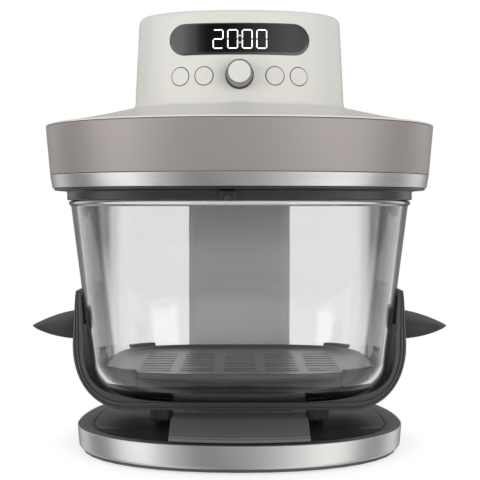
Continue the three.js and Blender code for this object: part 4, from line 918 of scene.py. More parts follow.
class FRYER_OT_column(bpy.types.Operator):
    """Column: front shell, vented rear cover and the cord's gland"""

    bl_idname = "fryer.column"
    bl_label = "Rear column"

    def execute(self, context):
        front_low, front_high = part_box("column_front")
        rear_low, rear_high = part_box("column_rear")
        gland_low, gland_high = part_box("cord_gland")
        centre_z = (gland_low.z + gland_high.z) / 2
        openings = [*self.vents(rear_high.y), self.gland_hole(rear_high.y, centre_z)]
        self.shell("column_face", "column_front", front_low.y, front_high.y, "grey_plastic")
        self.shell("column_back", "column_rear", rear_high.y, rear_low.y, "dark_plastic", [openings])
        self.gland(gland_low, gland_high, centre_z)
        return {"FINISHED"}

    def shell(self, name, node, face_y, seam_y, slot, tools=()):
        """Half of a rounded tube: its plan carried up in Z, with a wall of 2.5 mm."""
        low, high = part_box(node)
        half, corner, wall = high.x, 10 * MM, 2.5 * MM
        outwards = math.copysign(1, face_y - seam_y)
        turn = np.linspace(0, math.pi / 2, 13)[::-1]

        def line(inset):
            """From one side's seam round both corners to the other side's seam."""
            radius = corner - inset
            arc_x = half - corner + radius * np.sin(turn)
            arc_y = face_y - outwards * corner + outwards * radius * np.cos(turn)
            right = np.stack([arc_x, arc_y], -1)
            left = right[::-1] * [-1, 1]
            return np.concatenate([[[half - inset, seam_y]], right, left, [[-half + inset, seam_y]]])

        plan = np.concatenate([line(0), line(wall)[::-1]])
        piece(name, [prism(plan, [low.z, high.z])], finish(slot), "root", [node], sharp=40, tools=tools)

    def vents(self, face_y):
        """Cutters for seven slots, one over the other, through the rear wall."""
        count, lowest, pitch, half, height = 7, 96, 8, 22 * MM, 3 * MM
        inwards, outwards, soft = 6 * MM, 3 * MM, 0.2 * MM
        bars = []
        for i in range(count):
            z = (lowest + pitch * i) * MM
            low, high = (-half, face_y - inwards, z), (half, face_y + outwards, z + height)
            bars.append(grid(rounded_bar(low, high, soft, power=16)))
        return bars

    def gland_hole(self, face_y, centre_z):
        """A round cutter along Y for the gland's stem."""
        radius, reach_out = 6.8 * MM, 8 * MM
        made = turned([(0, -reach_out), (radius, -reach_out), (radius, reach_out), (0, reach_out)], 48)
        return grid(np.stack([made[..., 0], face_y + made[..., 2], centre_z - made[..., 1]], -1))

    def gland(self, low, high, centre_z):
        """Turned about the cord's axis: a flange outside, a stem through the wall, and the bore."""
        flange, stem, bore, rim = (high.x - low.x) / 2, 6.5 * MM, 3.4 * MM, 2.4 * MM
        radii = np.array([0.4, 0.4, 0.2, 0.6, 0.9, 0.8]) * MM
        profile = softened([
            (bore, low.y), (stem, low.y), (stem, high.y - rim), (flange, high.y - rim), (flange, high.y),
            (bore, high.y),
        ], radii, closed=True)
        made = turned(profile, 48)
        made = np.stack([made[..., 0], made[..., 2], centre_z - made[..., 1]], -1)
        piece("gland_bush", [grid(made, wrap_rows=True)], finish("rubber"), "root", ["cord_gland"])


class FRYER_OT_bowl(bpy.types.Operator):
    """Glass bowl"""

    bl_idname = "fryer.bowl"
    bl_label = "Glass bowl"

    def execute(self, context):
        half, front, rear, low, high = GLASS
        at = scaled_section((half, front, rear, GLASS_POWER))
        bead, wall, floor = GLASS_BEAD, sizes().glass_wall, sizes().glass_floor
        bead_height, bead_start, bead_inset, soft = 4 * MM, 1.4 * MM, 0.1 * MM, 1.0 * MM
        rim_start = high - bead_height

        def side(inset, bottom, radius, top):
            """Floor, quarter-circle corner and sloping side, where inset = bead + slope (rim - z)."""
            lean = bead + inset + GLASS_SLOPE * (high - np.array([bottom + radius, top]))
            turn = np.linspace(0, math.pi / 2, 17)
            draw = lean[0] + radius * (1 - np.sin(turn))
            rise = bottom + radius * (1 - np.cos(turn))
            return [at(half, bottom)] + [at(d, z) for d, z in zip(draw, rise)] + [at(lean[1], top)]

        outside = side(0, low, GLASS_CORNER, rim_start)
        inside = side(wall, low + floor, GLASS_INNER_CORNER, high - bead)[::-1]
        rim = [
            at(bead_inset, rim_start + bead_start), at(0, high - bead * 1.2), at(bead * 0.9, high),
            at(bead + wall * 0.6, high),
        ]
        sections = outside[:-1] + list(softened([outside[-1], *rim, inside[0]], soft)) + inside[1:]
        bowl = piece("clear_bowl", [grid(loft(sections))], finish("clear_glass"), "container",
                     ["glass_bowl"], sharp=80)
        # Clear glass casts next to no shadow, and a solid one would darken the column and the base.
        bowl.visible_shadow = False
        return {"FINISHED"}


class FRYER_OT_cradle(bpy.types.Operator):
    """Cradle: the U-shaped strap with its beads, ear handles, pads and feet"""

    bl_idname = "fryer.cradle"
    bl_label = "Cradle"

    half, top_half = 118.1 * MM, 116.3 * MM
    side_z, flat_half = 80 * MM, 77.5 * MM
    outer_power, inner_power = 2.2, 2.7
    # How far the channel's floor and the bead's top lie in from the outer line: at side, bottom and tip.
    floor_depths = 2.7 * MM, 3 * MM, 2.3 * MM
    bead_depths = 7.8 * MM, 11.4 * MM, 3.4 * MM

    def execute(self, context):
        self.strap()
        self.ear("ear_left", -1)
        self.ear("ear_right", 1)
        self.pads()
        self.feet()
        return {"FINISHED"}

    def line(self, edge, floor_edge, tip_edge, power, steps=40):
        """From tip to tip: x and z of a flat floor, two superellipse corners and a straight arm over each.

        x = flat + (half - flat) sin(t)^(2/n) and z = side - (side - bottom) cos(t)^(2/n), with t from 0 to a
        quarter turn.
        """
        bottom, top = CRADLE[3] + floor_edge, CRADLE[4]
        t = np.linspace(0, math.pi / 2, steps + 1)
        s, c = signed_power(np.sin(t), 2 / power), signed_power(np.cos(t), 2 / power)
        x = self.flat_half + (self.half - edge - self.flat_half) * s
        z = self.side_z - (self.side_z - bottom) * c
        arm_t = np.linspace(0, 1, 13)[1:]
        arm_x = x[-1] + (self.top_half - tip_edge - x[-1]) * arm_t
        arm_z = self.side_z + (top - self.side_z) * arm_t
        flat_x = self.flat_half * np.linspace(0, 1, 9)[:-1]
        across, up = np.concatenate([flat_x, x, arm_x]), np.concatenate([bottom + 0 * flat_x, z, arm_z])
        right = np.stack([across, up], -1)
        return np.concatenate([right[::-1] * [-1, 1], right[1:]])

    def section(self):
        """Corners of the channel: a across, c the share to the floor, i the share to the bead's top."""
        half, bead = sizes().strap_half, 7 * MM
        corner, skin, top_edge, rib, slope = 0.6 * MM, 0.2 * MM, 1.4 * MM, 1.2 * MM, 0.7 * MM
        rib_shares = [
            (0.16, 0), (0.2, rib), (0.26, rib), (0.3, 0), (0.46, 0), (0.5, rib), (0.56, rib), (0.6, 0),
        ]
        front = [(-half + corner, 0, 0)] + [(-half + skin + deep, 0, share) for share, deep in rib_shares]
        front += [(-half + skin, 0, 0.94), (-half + top_edge, 0, 1)]
        front += [(-half + bead - slope, 0, 1), (-half + bead, 1, 0)]
        return front + [(-a, c, i) for a, c, i in front[::-1]]

    def strap(self):
        """The channel carried along the U, its tips narrowed by a part of a circle.

        P = O + c (C - O) + i (I - O), with O the outer line, C the channel's floor and I the bead's top.
        """
        half, tip_round, tip_share = sizes().strap_half, 9 * MM, 0.75
        outer = self.line(0, 0, 0, self.outer_power)
        floor = self.line(*self.floor_depths, self.outer_power)
        inner = self.line(*self.bead_depths, self.inner_power)
        across, to_floor, to_inner = np.array(self.section()).T[:, None, :, None]
        lift = outer[:, None] * (1 - to_floor - to_inner)
        lift = lift + floor[:, None] * to_floor + inner[:, None] * to_inner
        rounding = np.clip((outer[:, 1] - (CRADLE[4] - tip_round)) / tip_round, 0, 1)
        narrow = 1 - (1 - np.sqrt(1 - (tip_share * rounding) ** 2)) * tip_round / half
        y = CENTRE_Y + across[..., 0] * narrow[:, None]
        points = np.stack([lift[..., 0], y, lift[..., 1]], -1)
        piece("cradle_strap", [grid(points, caps=True)], finish("dark_plastic"), "container",
              ["cradle"], sharp=38)

    def ear(self, node, side):
        """Sections across X from root to tip, between the lower curve z = b + (m - b) t^2 and a Bezier curve.

        Each section is a superellipse in Y and Z; its half width runs round a quarter circle to the tip.
        """
        low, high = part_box(node)
        sag, drop, middle, root = 2.8 * MM, 3.6 * MM, 89.4 * MM, 112 * MM
        plan_power, side_power = 5, 2.6
        tip, bottom, top = max(abs(low.x), abs(high.x)), low.z - sag, high.z - drop
        half_width = (high.y - low.y) / 2
        shares = np.concatenate([np.linspace(0.12, 0.9, 25), [0.93, 0.955, 0.975, 0.99, 0.9975, 1.0]])
        x = root + (tip - root) * shares
        t, s = (x - root) / (tip - root), (tip - x) / (tip - root)
        below = bottom + (middle - bottom) * t ** 2
        third = (middle + 2 * top) / 3
        above = (1 - s) ** 3 * middle + 3 * s * (1 - s) ** 2 * third
        above = above + 3 * s ** 2 * (1 - s) * top + s ** 3 * top
        reach_in = np.clip(x - (tip - half_width), 0, half_width)
        width = np.sqrt(np.maximum(half_width ** 2 - reach_in ** 2, 0))
        angle = np.arange(96) * TURN / 96
        c, d = signed_power(np.cos(angle), 2 / plan_power), signed_power(np.sin(angle), 2 / side_power)
        y = CENTRE_Y + width[:, None] * c
        z = ((above + below) / 2)[:, None] + ((above - below) / 2)[:, None] * d
        points = np.stack([side * x[:, None] + 0 * y, y, z], -1)
        piece(node + "_handle", [grid(points, caps=True)], finish("handle"), "container",
              [node], sharp=50)

    def pads(self):
        """Silicone pads inside the arms, soft-edged."""
        soft = 0.6 * MM
        for node in ("arm_pad_left", "arm_pad_right"):
            low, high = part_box(node)
            made = grid(rounded_bar(low, high, soft, power=8))
            piece(node + "_soft", [made], finish("silicone"), "container", [node], sharp=50)

    def feet(self):
        """Blocks with rounded lower edges and upright ribs.

        The outline goes in by deep (1.2 - 2.2 cos a), held between 0 and deep; a turns once from rib to rib.
        """
        count, ribs, deep, power = 144, 12, 0.55 * MM, 7
        edge_low, edge_high, edge_in, edge_out = 1.2 * MM, 3 * MM, 2.2 * MM, 0.6 * MM
        t = np.arange(count) * TURN / count
        c, s = signed_power(np.cos(t), 2 / power), signed_power(np.sin(t), 2 / power)
        around = np.cumsum(np.hypot(np.roll(c, -1) - c, np.roll(s, -1) - s))
        wave = deep * np.clip(1.2 - 2.2 * np.cos(around / around[-1] * ribs * TURN), 0, 1)
        for place in ("front_left", "front_right", "rear_left", "rear_right"):
            node = "cradle_foot_" + place
            low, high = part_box(node)
            half_x, half_y = (high.x - low.x) / 2, (high.y - low.y) / 2
            middle = ((low.x + high.x) / 2, (low.y + high.y) / 2)
            z = np.array([low.z, low.z, low.z + edge_low, low.z + edge_high, high.z, high.z])
            draw = np.array([half_x, edge_in, edge_out, 0, 0, half_x])
            scale_x = np.maximum(half_x - draw[:, None] - wave, 0)
            scale_y = np.maximum(half_y - np.minimum(draw, half_y)[:, None] - wave, 0)
            x, y = middle[0] + scale_x * c, middle[1] + scale_y * s
            points = np.stack([x, y, z[:, None] + 0 * x], -1)
            points[[0, -1], :, :2] = middle
            piece(node + "_block", [grid(points)], finish("rubber"), "container", [node], sharp=45)


class FRYER_OT_crisper(bpy.types.Operator):
    """Crisper plate with its slots, and the silicone clips at its corners"""

    bl_idname = "fryer.crisper"
    bl_label = "Crisper plate"

    def execute(self, context):
        low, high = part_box("crisper_plate")
        half, front, rear, under = high.x, CENTRE_Y - low.y, high.y - CENTRE_Y, low.z
        at = outline_section((half, front, rear, CRISPER_POWER))
        top, rim = 62 * MM, 3 * MM
        radii = np.array([0, 1.5, 1.0, 0.8, 0.8, 2.0, 0]) * MM
        sections = softened([
            on_axis(under), at(rim, under), at(0, top), at(0, high.z), at(rim * 0.7, high.z),
            at(rim * 2, top), on_axis(top),
        ], radii)
        piece("slotted_crisper", [grid(loft(sections, 192))], finish("nonstick_plate"), "crisper",
              ["crisper_plate"], sharp=40, tools=[self.slots(under, top)])
        self.clips(half, front)
        return {"FINISHED"}

    def slots(self, under, top):
        """Cutters for five by eight slots: x = x0 +- a + r cos t, y = y0 + r sin t."""
        columns, rows, pitch_x, pitch_y = 5, 8, 30 * MM, 14 * MM
        straight, radius, overrun = 9.8 * MM, 2.2 * MM, 2 * MM
        t = np.arange(32) * TURN / 32
        side = np.sign(np.round(np.cos(t), 9))
        line = np.stack([side * straight + radius * np.cos(t), radius * np.sin(t)], -1)
        made = []
        for i in range(columns):
            for j in range(rows):
                place = [(i - (columns - 1) / 2) * pitch_x, CENTRE_Y + (j - (rows - 1) / 2) * pitch_y]
                made.append(prism(line + place, [under - overrun, top + overrun]))
        return made

    def clips(self, half, front):
        """Each clip fills the room between plate and glass: a closed section carried round the corner."""
        glass = scaled_section((GLASS[0], GLASS[1], GLASS[2], GLASS_POWER))
        lean, play, soft = GLASS_BEAD + sizes().glass_wall + GAP, 0.4 * MM, 0.5 * MM
        corner, corner_top = GLASS_INNER_CORNER, GLASS[3] + sizes().glass_floor + GLASS_INNER_CORNER
        span_shares = np.linspace(0.38, 0.62, 25)
        for place, start in (("front_left", 2), ("front_right", 3), ("rear_left", 1), ("rear_right", 0)):
            node = "clip_" + place
            low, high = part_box(node)
            turn = (start + span_shares) * TURN / 4

            def edge(outline, power):
                """The part of an outline that the clip takes up at its corner."""
                x = outline[0] * signed_power(np.cos(turn), 2 / power)
                return np.stack([x, outline[1] * signed_power(np.sin(turn), 2 / power)], -1)

            inner = edge((half + play, front + play), CRISPER_POWER)
            rows = [(inner, low.z)]
            for z in (low.z, high.z):
                rise = max(0.0, corner_top - z)
                inset = lean + GLASS_SLOPE * (GLASS[4] - z) + corner - math.sqrt(corner ** 2 - rise ** 2)
                rows.append((edge(glass(inset, z), GLASS_POWER), z))
            rows.append((inner, high.z))
            points = np.stack([np.concatenate([xy, np.full((len(xy), 1), z)], 1) for xy, z in rows], 1)
            points[..., 1] += CENTRE_Y
            made = piece(node + "_soft", [grid(points, caps=True)], finish("silicone"), "crisper",
                         [node], sharp=50)
            rounded = made.modifiers.new("edges", "BEVEL")
            rounded.width, rounded.segments, rounded.limit_method = soft, 2, "ANGLE"


class FRYER_OT_head_rings(bpy.types.Operator):
    """Head below the cover: skirt, gasket, brushed trim, lacquered collar and interlock"""

    bl_idname = "fryer.head_rings"
    bl_label = "Skirt, trim and collar"

    def execute(self, context):
        self.skirt()
        self.gasket()
        self.trim()
        self.collar()
        self.interlock()
        return {"FINISHED"}

    def skirt(self):
        """From the mouth out under the roof, down the rim's pocket, up the outside to the flange and back."""
        wall, roof, shoulder, flange_edge = 3.5 * MM, 186.2 * MM, 187.3 * MM, 1.2 * MM
        body_half, body_front, body_rear = 123.1 * MM, 115.6 * MM, 150 * MM
        bottom, top = SKIRT[3], SKIRT[4]
        body = outline_section((body_half, body_front, body_rear, SKIRT_POWER))
        flange = outline_section((SKIRT[0], SKIRT[1], SKIRT[2], HEAD_POWER))
        pocket = scaled_section((GLASS[0], GLASS[1], GLASS[2], GLASS_POWER))
        mouth = outline_section(MOUTH)
        seat = GLASS[0] - (body_half - wall)
        sections = [
            mouth(0, top), mouth(0, roof), pocket(seat, roof), pocket(seat, bottom), body(0, bottom),
            body(0, shoulder), flange(0, top - flange_edge), flange(0, top),
        ]
        radii = np.array([0.2, 0.8, 0.6, 0.4, 0.9, 1.6, 0.5, 0.3]) * MM
        piece("head_skirt", [hoop(sections, radii)], finish("skirt_lacquer"), "root",
              ["skirt"], sharp=50)

    def gasket(self):
        """A soft lip seal: its section is a bar with two rounded lips below, carried round the rim."""
        low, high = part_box("gasket")
        at = scaled_section((GLASS[0], GLASS[1], GLASS[2], GLASS_POWER))
        seat, width, groove, soft = GLASS[0] - high.x, 6 * MM, 1.4 * MM, 0.7 * MM
        below = [(0, 0), (0.3, 0), (0.5, groove), (0.7, 0), (1, 0)]
        sections = [at(seat + width * share, low.z + rise) for share, rise in below]
        sections = [at(seat, high.z), *sections, at(seat + width, high.z)]
        piece("lip_gasket", [hoop(sections, soft)], finish("silicone"), "root", ["gasket"],
              sharp=60)

    def band(self, name, node, bottom_outline, wall, radii, slot):
        """A drafted band with rounded edges, from its bottom outline to the wider one at its top."""
        half, front, rear, low, high = reach(node)
        top, bottom = outline_section((half, front, rear, HEAD_POWER)), outline_section(bottom_outline)
        sections = [bottom(0, low), top(0, high), top(wall, high), bottom(wall, low)]
        piece(name, [hoop(sections, radii)], finish(slot), "root", [node], sharp=50)

    def trim(self):
        """Brushed steel between the skirt and the collar."""
        half, front, rear, wall, soft = 135.9 * MM, 133.6 * MM, 156.5 * MM, 1.6 * MM, 0.5 * MM
        self.band("steel_trim", "trim_ring", (half, front, rear, HEAD_POWER), wall, soft, "brushed_steel")

    def collar(self):
        """The lacquered shell: it starts on the trim's outline and leans out a little as it rises."""
        wall, radii = 3 * MM, np.array([0.5, 0.8, 0.5, 0.5]) * MM
        self.band("lacquered_collar", "collar", (*TRIM[:3], HEAD_POWER), wall, radii, "taupe_coat")

    def interlock(self):
        """A small housing on the skirt and the finger that the bowl's rim pushes up."""
        low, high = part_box("interlock_housing")
        finger_low, finger_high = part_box("interlock_finger")
        overrun, roof, sharp_edge, soft, finger_soft = 2 * MM, 0.8 * MM, 0.1 * MM, 0.5 * MM, 0.3 * MM
        slot_low = (finger_low.x - GAP, low.y - overrun, low.z - overrun)
        slot_high = (finger_high.x + GAP, finger_high.y + GAP, high.z - roof)
        slot = grid(rounded_bar(slot_low, slot_high, sharp_edge, power=20))
        housing = grid(rounded_bar(low, high, soft, power=12))
        piece("switch_housing", [housing], finish("skirt_lacquer"), "root",
              ["interlock_housing"], tools=[[slot]])
        finger = grid(rounded_bar(finger_low, finger_high, finger_soft, power=8))
        piece("switch_finger", [finger], finish("rubber"), "finger_body", ["interlock_finger"])


def cover_sections(inset):
    """Sections of the white cover from its rim up, drawn in by an inset.

    Rim, rounded edge, a shoulder whose height goes with the 1.15th power of the way in, a quarter-circle
    fillet at the turret's foot, the turret, a rounded top edge and a crowned lid.
    """
    s = sizes()
    rim_low, top, edge_low, rise = COVER[3], COVER[4], 0.3 * MM, np.array([1, 1, 1, 1, 1.15])
    edge_steps = np.array([(0, 0), (0.12, 0.4), (0.5, 0.75), (1.7, 1.0)]) * MM
    lid_shares = (0.8, 0.6, 0.4, 0.2, 0.05)
    rim = outline_section((COVER[0], COVER[1], COVER[2], HEAD_POWER))
    turret_top = top - s.crown
    wall_top = turret_top - s.top_round
    outlines = np.array([
        (s.shoulder_half, s.shoulder_front, s.shoulder_rear), (s.foot_half, s.foot_front, s.foot_rear),
        (s.top_half, s.top_front, s.top_rear)])
    shoulder, foot, brim = outlines

    def turret(outline, draw, z):
        """A section of the turret, drawn in, at a height on its outer side."""
        return [*(outline - inset - draw), TURRET_POWER, z - inset]

    t = np.linspace(0, math.pi / 2, 13)
    edge = [rim(inset + draw, rim_low + edge_low + z) for draw, z in edge_steps]
    fillet = [turret(foot + (shoulder - foot) * (1 - math.sin(a)), 0,
                     s.shoulder_z + (s.foot_z - s.shoulder_z) * (1 - math.cos(a))) for a in t]
    wall = [turret(foot + (brim - foot) * share, 0, s.foot_z + (wall_top - s.foot_z) * share)
            for share in np.linspace(0, 1, 25)[1:-1]]
    edge_top = [turret(brim, s.top_round * (1 - math.cos(a)), turret_top - s.top_round * (1 - math.sin(a)))
                for a in t]
    lid = [turret(brim * r, inset * (r - 1), turret_top + s.crown * (1 - r ** 2)) for r in lid_shares]
    slope_low, slope_top = np.array(edge[-1]), np.array(fillet[0])
    slope = [slope_low + (slope_top - slope_low) * k ** rise for k in np.linspace(0, 1, 13)[1:-1]]
    middle = [0, 0, 0, TURRET_POWER, top - inset]
    return [rim(inset, rim_low), *edge, *slope, *fillet, *wall, *edge_top, *lid, middle]


def panel_y(x, z):
    """Y of the turret's front at x and z: y = -front (1 - |x / half|^n)^(1/n)."""
    s = sizes()
    share = (z - s.foot_z) / (COVER[4] - s.crown - s.top_round - s.foot_z)
    half = s.foot_half + (s.top_half - s.foot_half) * share
    front = s.foot_front + (s.top_front - s.foot_front) * share
    return CENTRE_Y - front * (1 - np.abs(x / half) ** TURRET_POWER) ** (1 / TURRET_POWER)


def panel_frame(x, z):
    """A matrix that stands things on the panel: X along the surface, Y up it and Z straight out of it."""
    step = 0.3 * MM

    def point(px, pz):
        """A point of the panel."""
        return np.array([px, float(panel_y(px, pz)), pz])

    along = point(x + step, z) - point(x - step, z)
    up = point(x, z + step) - point(x, z - step)
    along /= np.linalg.norm(along)
    out = np.cross(along, up)
    out /= np.linalg.norm(out)
    matrix = np.eye(4)
    matrix[:3, 0], matrix[:3, 1], matrix[:3, 2], matrix[:3, 3] = along, np.cross(out, along), out, point(x, z)
    return matrix


def stadium(profile, count=160):
    """A pill on the panel: P = spine + r u for each r of the profile, u turning once; the depth runs inwards.

    The spine is the straight line between the centres of the two round ends.
    """
    s = sizes()
    spine, below_top = s.display_half - s.display_height / 2, 6 * MM
    arc = np.linspace(-math.pi / 2, math.pi / 2, count // 2 + 1)
    along = np.linspace(-spine, spine, count // 4)[1:-1]
    centre = np.concatenate([np.full(len(arc), spine), along[::-1], np.full(len(arc), -spine), along])
    turn = np.concatenate([arc, np.full(len(along), arc[-1]), arc + math.pi, np.full(len(along), arc[0])])
    r, depth = np.asarray(profile, float).T[:, :, None]
    x, z = centre + r * np.cos(turn), s.display_z + r * np.sin(turn)
    return np.stack([x, panel_y(x, np.minimum(z, COVER[4] - below_top)) + depth, z], -1)


def hole(x, z, radius, inner, outer):
    """A round cutter square to the panel at x and z, from an inner to an outer distance along its axis."""
    points = turned([(0, inner), (radius, inner), (radius, outer), (0, outer)], 64)
    return [grid(placed(points, panel_frame(x, z)))]


def button_places():
    """The name of each button with its distance from the middle."""
    inner, outer = sizes().button_inner, sizes().button_outer
    return (("outer_left", -outer), ("inner_left", -inner), ("inner_right", inner), ("outer_right", outer))


class FRYER_OT_cover(bpy.types.Operator):
    """White cover of the head: a shell with a sloping shoulder and a turret, with window pocket and holes"""

    bl_idname = "fryer.cover"
    bl_label = "Head cover"

    def execute(self, context):
        s = sizes()
        radius, shaft_play, depth = s.display_height / 2, 0.6 * MM, 3 * s.cover_wall
        shaft_low, shaft_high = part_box("knob_shaft")
        shaft_radius = (shaft_high.x - shaft_low.x) / 2
        button_hole = s.button_radius + s.button_clear
        pocket = [grid(stadium([(0, -s.pocket), (radius, -s.pocket), (radius, s.pocket), (0, s.pocket)]))]
        tools = [pocket, hole(0, s.knob_z, shaft_radius + shaft_play, -depth, depth)]
        tools += [hole(x, s.button_z, button_hole, -depth, depth) for _, x in button_places()]
        shell = cover_sections(s.cover_wall)[::-1] + cover_sections(0)
        piece("moulded_cover", [grid(loft(shell))], finish("stone_white"), "root",
              ["head_cover"], sharp=32, tools=tools)
        return {"FINISHED"}


SEGMENTS = {
    "a": ((0, 1), (1, 1)), "b": ((1, 1), (1, 0.5)), "c": ((1, 0.5), (1, 0)), "d": ((1, 0), (0, 0)),
    "e": ((0, 0), (0, 0.5)), "f": ((0, 0.5), (0, 1)), "g": ((0, 0.5), (1, 0.5)),
}
FIGURES = {"0": "abcdef", "2": "abged"}


class FRYER_OT_display(bpy.types.Operator):
    """Display: the smoked window and the lit figures of its clock"""

    bl_idname = "fryer.display"
    bl_label = "Display"

    def execute(self, context):
        self.window()
        self.clock()
        return {"FINISHED"}

    def window(self):
        """A pill that follows the panel just below flush, its edge softened by a quarter circle."""
        s = sizes()
        radius, soft, back = s.display_height / 2 - GAP, 0.35 * MM, s.flush + s.pane
        a = np.linspace(0, math.pi / 2, 5)
        edge = np.stack([radius - soft * (1 - np.cos(a)), s.flush + soft * (1 - np.sin(a))], -1)
        face = [(radius * share, s.flush) for share in (0.8, 0.6, 0.4, 0.2, 0)]
        profile = [(0, back), (radius, back), *edge, *face]
        piece("smoked_window", [grid(stadium(profile))], finish("screen"), "root",
              ["display_window"], sharp=50)

    def bar(self, start, end):
        """A segment with bevelled ends: at s along it the half width is min(h, s, length - s)."""
        s = sizes()
        start, end, half, thick = np.array(start), np.array(end), s.segment / 2, 2 * s.segment_rise
        size = np.hypot(*(end - start))
        along = (end - start) / size
        across = np.array([-along[1], along[0]])
        places = np.concatenate([[0], np.linspace(half, size - half, 9), [size]])
        width = np.minimum(half, np.minimum(places, size - places) + MERGE * 2)
        centre = start + places[:, None] * along
        rows = []
        for side, depth in ((1, 0), (-1, 0), (-1, thick), (1, thick)):
            x, z = (centre + side * width[:, None] * across).T
            rows.append(np.stack([x, panel_y(x, z) + s.flush - s.segment_rise + depth, z], -1))
        return grid(np.stack(rows, 1), caps=True)

    def clock(self):
        """Four figures of seven segments and a colon, as a clock shows twenty minutes."""
        s = sizes()
        half, cut = s.segment / 2, s.segment_gap
        low, high = s.figure_z - s.figure_height / 2 + half, s.figure_z + s.figure_height / 2 - half
        grids = []
        for text, x in zip("2000", (s.figure_1, s.figure_2, s.figure_3, s.figure_4)):
            left, right = x - s.figure_width / 2 + half, x + s.figure_width / 2 - half
            for name in FIGURES[text]:
                corners = [(left + (right - left) * u, low + (high - low) * v) for u, v in SEGMENTS[name]]
                ends = np.array(corners)
                along = (ends[1] - ends[0]) / np.hypot(*(ends[1] - ends[0]))
                grids.append(self.bar(ends[0] + along * cut, ends[1] - along * cut))
        radius, rise = s.colon_radius, s.segment_rise
        disc = turned([(0, -rise), (radius, -rise), (radius, 0), (0, 0)], 24)
        for z in (s.figure_z + s.colon_up, s.figure_z - s.colon_down):
            grids.append(grid(placed(disc, panel_frame(s.colon_x, z)) + np.array([0, s.flush, 0])))
        piece("clock_figures", grids, finish("lit"), "root", sharp=40)


class FRYER_OT_controls(bpy.types.Operator):
    """Controls: the knob with its white cap, and four buttons"""

    bl_idname = "fryer.controls"
    bl_label = "Knob and buttons"

    def execute(self, context):
        self.knob()
        self.buttons()
        return {"FINISHED"}

    def knob(self):
        """A cone frustum with a thin rim round a recess, a dark ring at its foot that is partly painted
        shadow, and a crowned cap.
        """
        s = sizes()
        foot, face, length, rim, recess = s.knob_radius, s.knob_face, s.knob_length, s.knob_rim, s.knob_recess
        bore, bore_depth, lift, crown = 3.3 * MM, 9 * MM, 0.5 * MM, 0.15 * MM
        self.on_shaft("control_knob", [
            (0, lift + bore_depth), (bore, lift + bore_depth), (bore, lift), (foot, lift), (face, length),
            (face - rim, length), (face - rim, length - recess), (0, length - recess),
        ], [0, 0.1, 0.3, 0.5, 0.35, 0.3, 0.2, 0], "knob_metal", "knob_metal", ["knob"])
        # Painted shadow: a dark ring at the knob's foot, where the knob's shadow falls on the panel.
        ring, shadow_ring_top = s.knob_shadow_ring, lift + s.knob_shadow_ring_height
        self.on_shaft("knob_foot_ring", [
            (bore, lift), (ring, lift), (ring, shadow_ring_top), (foot - GAP, shadow_ring_top), (bore, shadow_ring_top),
        ], [0, 0.2, 0.3, 0, 0], "skirt_lacquer", "dark_plastic", closed=True)
        cap, bottom, top = face - rim - GAP / 2, length - recess + GAP / 2, length + GAP / 2
        self.on_shaft("knob_face", [
            (0, bottom), (cap, bottom), (cap, top - crown), (0, top),
        ], [0, 0.2, 0.6, 0], "stone_white", "stone_white", ["knob_cap"], steps=6)

    def on_shaft(self, name, profile, radii, material, slot, replaces=(), closed=False, steps=4):
        """A part of the knob: its profile with rounded corners, turned about the shaft."""
        line = softened(profile, np.array(radii) * MM, steps, closed)
        made = placed(turned(line, 128), panel_frame(0, sizes().knob_z))
        piece(name, [grid(made, wrap_rows=closed)], finish(material), "knob_body", replaces, sharp=40)

    def buttons(self):
        """Turned about its own axis: a dished face with a soft rim, a stem, and the flange that holds it."""
        s = sizes()
        stem, flange, thick, dish = 4.4 * MM, 1.2 * MM, 1.4 * MM, 0.3 * MM
        play, seal_top, seal_bottom, seal_soft = 0.08 * MM, -0.3 * MM, -1.6 * MM, 0.08 * MM
        radius, proud = s.button_radius, s.button_proud
        radii = np.array([0, 0.2, 0.2, 0.2, 0.35, 1.5, 2.0, 0]) * MM
        profile = softened([
            (0, -stem - thick), (radius + flange, -stem - thick), (radius + flange, -stem), (radius, -stem),
            (radius, proud), (radius * 0.86, proud), (radius * 0.5, proud - dish * 0.7), (0, proud - dish),
        ], radii)
        # Painted shade: dark silicone seals fill the gaps round the buttons, partly a real seal and partly
        # the gaps' shade.
        inner, outer = radius + play, radius + s.button_clear
        seal = softened([(inner, seal_bottom), (outer, seal_bottom), (outer, seal_top), (inner, seal_top)],
                        seal_soft, closed=True)
        stands = [(place, panel_frame(x, s.button_z)) for place, x in button_places()]
        gap_shade_seals = [grid(placed(turned(seal, 96), stand), wrap_rows=True) for _, stand in stands]
        piece("button_seals", gap_shade_seals, finish("silicone"), "root", sharp=50)
        for place, stand in stands:
            node = "button_" + place
            piece(node + "_key", [grid(placed(turned(profile, 96), stand))], finish("stone_white"),
                  node + "_body", [node], sharp=40)


